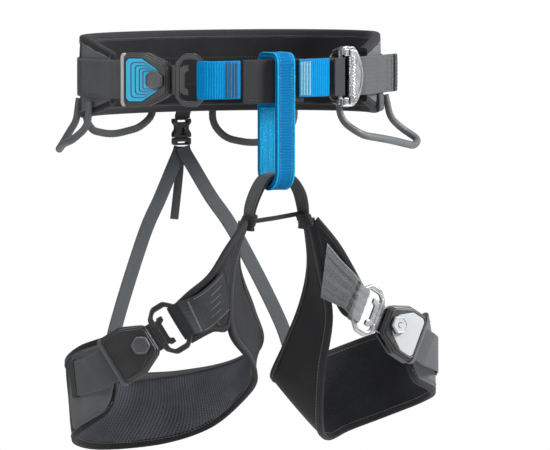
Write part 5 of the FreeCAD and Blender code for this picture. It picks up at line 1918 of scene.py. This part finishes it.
class Risers(Piece):
    """The rear elastic risers, their buckle, the loose tail and the tab that carries the buckle."""

    right = ((2, 121.2, -82.3), (0, 121.2, -89), (-9, 117, -103), (-30, 106, -135), (-58, 91, -176),
             (-104, 66, -270), (-116, 60, -322))
    left = ((4, 118.0, -82.3), (6, 118.0, -89), (13, 113.5, -103), (29, 103, -135), (52, 88, -176),
            (94, 66, -270), (108, 58, -326))
    tail = ((3, 124.2, -82), (2, 124.2, -110), (-3, 126.2, -160))
    knot = Placement((3.0, 121.0, -72.0), (1.0, 0.0, 0.0), (0.0, 1.0, 0.0))

    def strap_band(self, points: Sequence[tuple], width: float) -> Band:
        """A strap that hangs from the buckle."""
        line = smooth_line([Vector(point) for point in points], 14)
        lower, upper = [], []
        for index, point in enumerate(line):
            along = line[min(index + 1, len(line) - 1)] - line[max(index - 1, 0)]
            across = along.cross(Vector((0, 1, 0))).normalized() * (width / 2)
            lower.append(point - across)
            upper.append(point + across)
        return Band(lower, upper, -1.0)

    def straps(self) -> None:
        """Both risers, which stretch between the belt and the leg loops, and the tail."""
        for side, points in (("left", self.left), ("right", self.right)):
            band = self.strap_band(points, 16.0)
            mesher = Mesher()
            strip(mesher, band, Section(-0.9, 0.75, 0.08, 22, 4), ribs(8, 0.12))
            for share in (0.0, 1.0):
                Seam(0.24, 2.2, 1.4).along(mesher, band, share, 1.8 if share == 0.0 else -1.8, 0.85,
                                           band.length - 40.0, finish=1)
            made = mesher.build(f"{side}_riser_elastic",
                                [self.palette.elastic, self.palette.black_thread])
            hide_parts(f"{side}_riser")
            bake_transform(made)
        band = self.strap_band(self.tail, 10.0)
        mesher = Mesher()
        strip(mesher, band, Section(-0.9, 0.75, 0.08, 14, 4), ribs(5, 0.12))
        Seam(0.26).bartack(mesher, band, band.length - 5.0, 0.95, 1.0, 2.4, finish=1)
        made = mesher.build("riser_tail_webbing", [self.palette.elastic, self.palette.black_thread])
        self.place(made, "waist", "dark_webbing", "riser_tail")

        points = [Vector((3, y, z)) for y, z in ((110.3, -24), (110.5, -36), (114, -42), (118, -48),
                                                 (118, -51.7))]
        line = smooth_line(points, 8)
        shift = Vector((9, 0, 0))
        band = Band([p - shift for p in line], [p + shift for p in line])
        mesher = Mesher()
        strip(mesher, band, Section(-0.9, 0.75, 0.08, 22, 4), ribs(7, 0.14))
        for distance in (3.0, 8.0):
            Seam(0.26).bartack(mesher, band, distance, 0.95, 1.6, 2.4, finish=1)
        made = mesher.build("riser_tab_webbing", [self.palette.dark, self.palette.black_thread])
        self.place(made, "waist", "dark_webbing", "riser_tab")

    def buckle(self) -> None:
        """The side-release buckle: socket with an eye, plug bar and two barbed prongs."""
        place = self.knot
        socket = Moulding(place)
        outline = Outline.rounded([(-10, -20), (10, -20), (10, -15.5), (7.2, -12.5), (7.2, -8.5),
                                   (10, -4.5),
                                   (10, 0), (-10, 0), (-10, -4.5), (-7.2, -8.5), (-7.2, -12.5),
                                   (-10, -15.5)], 1.6)
        eye = Outline.rounded([(-3.6, -3.0), (3.6, -3.0), (0.0, -12.4)], 1.0)
        slot = Outline.box(13.0, 2.4, 1.0, 0.0, -17.4)
        for low, high in ((-4.5, -2.2), (2.2, 4.5)):
            socket.plate([outline, eye, slot], low, high, 0.7, self.palette.black)
        socket.plate([Outline.box(18.0, 3.0, 0.7, 0.0, -14.6)], -2.6, 2.6, 0.3, self.palette.black)
        socket.plate([Outline.box(4.4, 12.0, 0.7, 0.0, -8.0)], -0.9, 0.9, 0.3, self.palette.black)
        made = socket.join("riser_socket_shell")
        self.place(made, "waist", "black_plastic", "riser_socket")

        plug = Moulding(place)
        plug.plate([Outline.box(20, 8, 2.4, 0.0, 4.3), Outline.box(12, 1.8, 0.8, 0.0, 5.4)], -4.5,
                   4.5, 1.1, self.palette.black)
        made = plug.join("riser_plug_shell")
        self.place(made, "waist", "black_plastic", "riser_plug")
        for side, name in ((1, "left"), (-1, "right")):
            prong = Moulding(place)
            x = side * 5.0
            outline = Outline.rounded([(x - 1.4, 0.0), (x + 1.4, 0.0), (x + 1.4, -9.5),
                                       (x + side * 1.9 - 0.4, -11.0),
                                       (x + 0.7, -15.0), (x - 0.7, -15.0), (x - 1.4, -9.5)], 0.6)
            prong.plate([outline], -1.5, 1.5, 0.4, self.palette.black)
            made = prong.join(f"{name}_prong_bar")
            self.place(made, f"{name}_prong", "black_plastic", f"{name}_prong")

    def build(self) -> None:
        """Builds the risers."""
        self.straps()
        self.buckle()


class Harness:
    """The whole harness."""

    def __init__(self) -> None:
        """Lists every sub-assembly."""
        palette = Palette()
        self.parts = [
            WaistBelt(palette),
            GearLoops(palette),
            AdjusterBuckle(palette),
            BelayLoop(palette),
            Bridge(palette),
            Risers(palette),
            LegLoop(palette, LEFT_LEG),
            LegLoop(palette, RIGHT_LEG),
            QuickBuckle(palette, "waist", WAIST_BUCKLE, "waist", palette.blue_plate, palette.deep_blue,
                        palette.knob, palette.black_metal, ("blue_plastic", "black_metal")),
            # The left leg's buckle takes the lit copies: plate and knob painted light grey, frame
            # painted as bright steel, for the strong side light.
            QuickBuckle(palette, "left_leg", LEFT_LEG_BUCKLE, "left_leg", palette.lit_grey_plate,
                        palette.knob,
                        palette.lit_grey_plate, palette.lit_silver, ("grey_plastic", "steel")),
            QuickBuckle(palette, "right_leg", RIGHT_LEG_BUCKLE, "right_leg", palette.black,
                        palette.black,
                        palette.knob, palette.black_metal, ("black_plastic", "black_metal")),
        ]

    def build(self) -> None:
        """Builds them all."""
        for part in self.parts:
            part.build()


def main() -> None:
    """Builds the studio and the harness."""
    logging.basicConfig(level=logging.INFO, format="%(message)s")
    Studio().build()
    Harness().build()


if __name__ == "__main__":
    main()
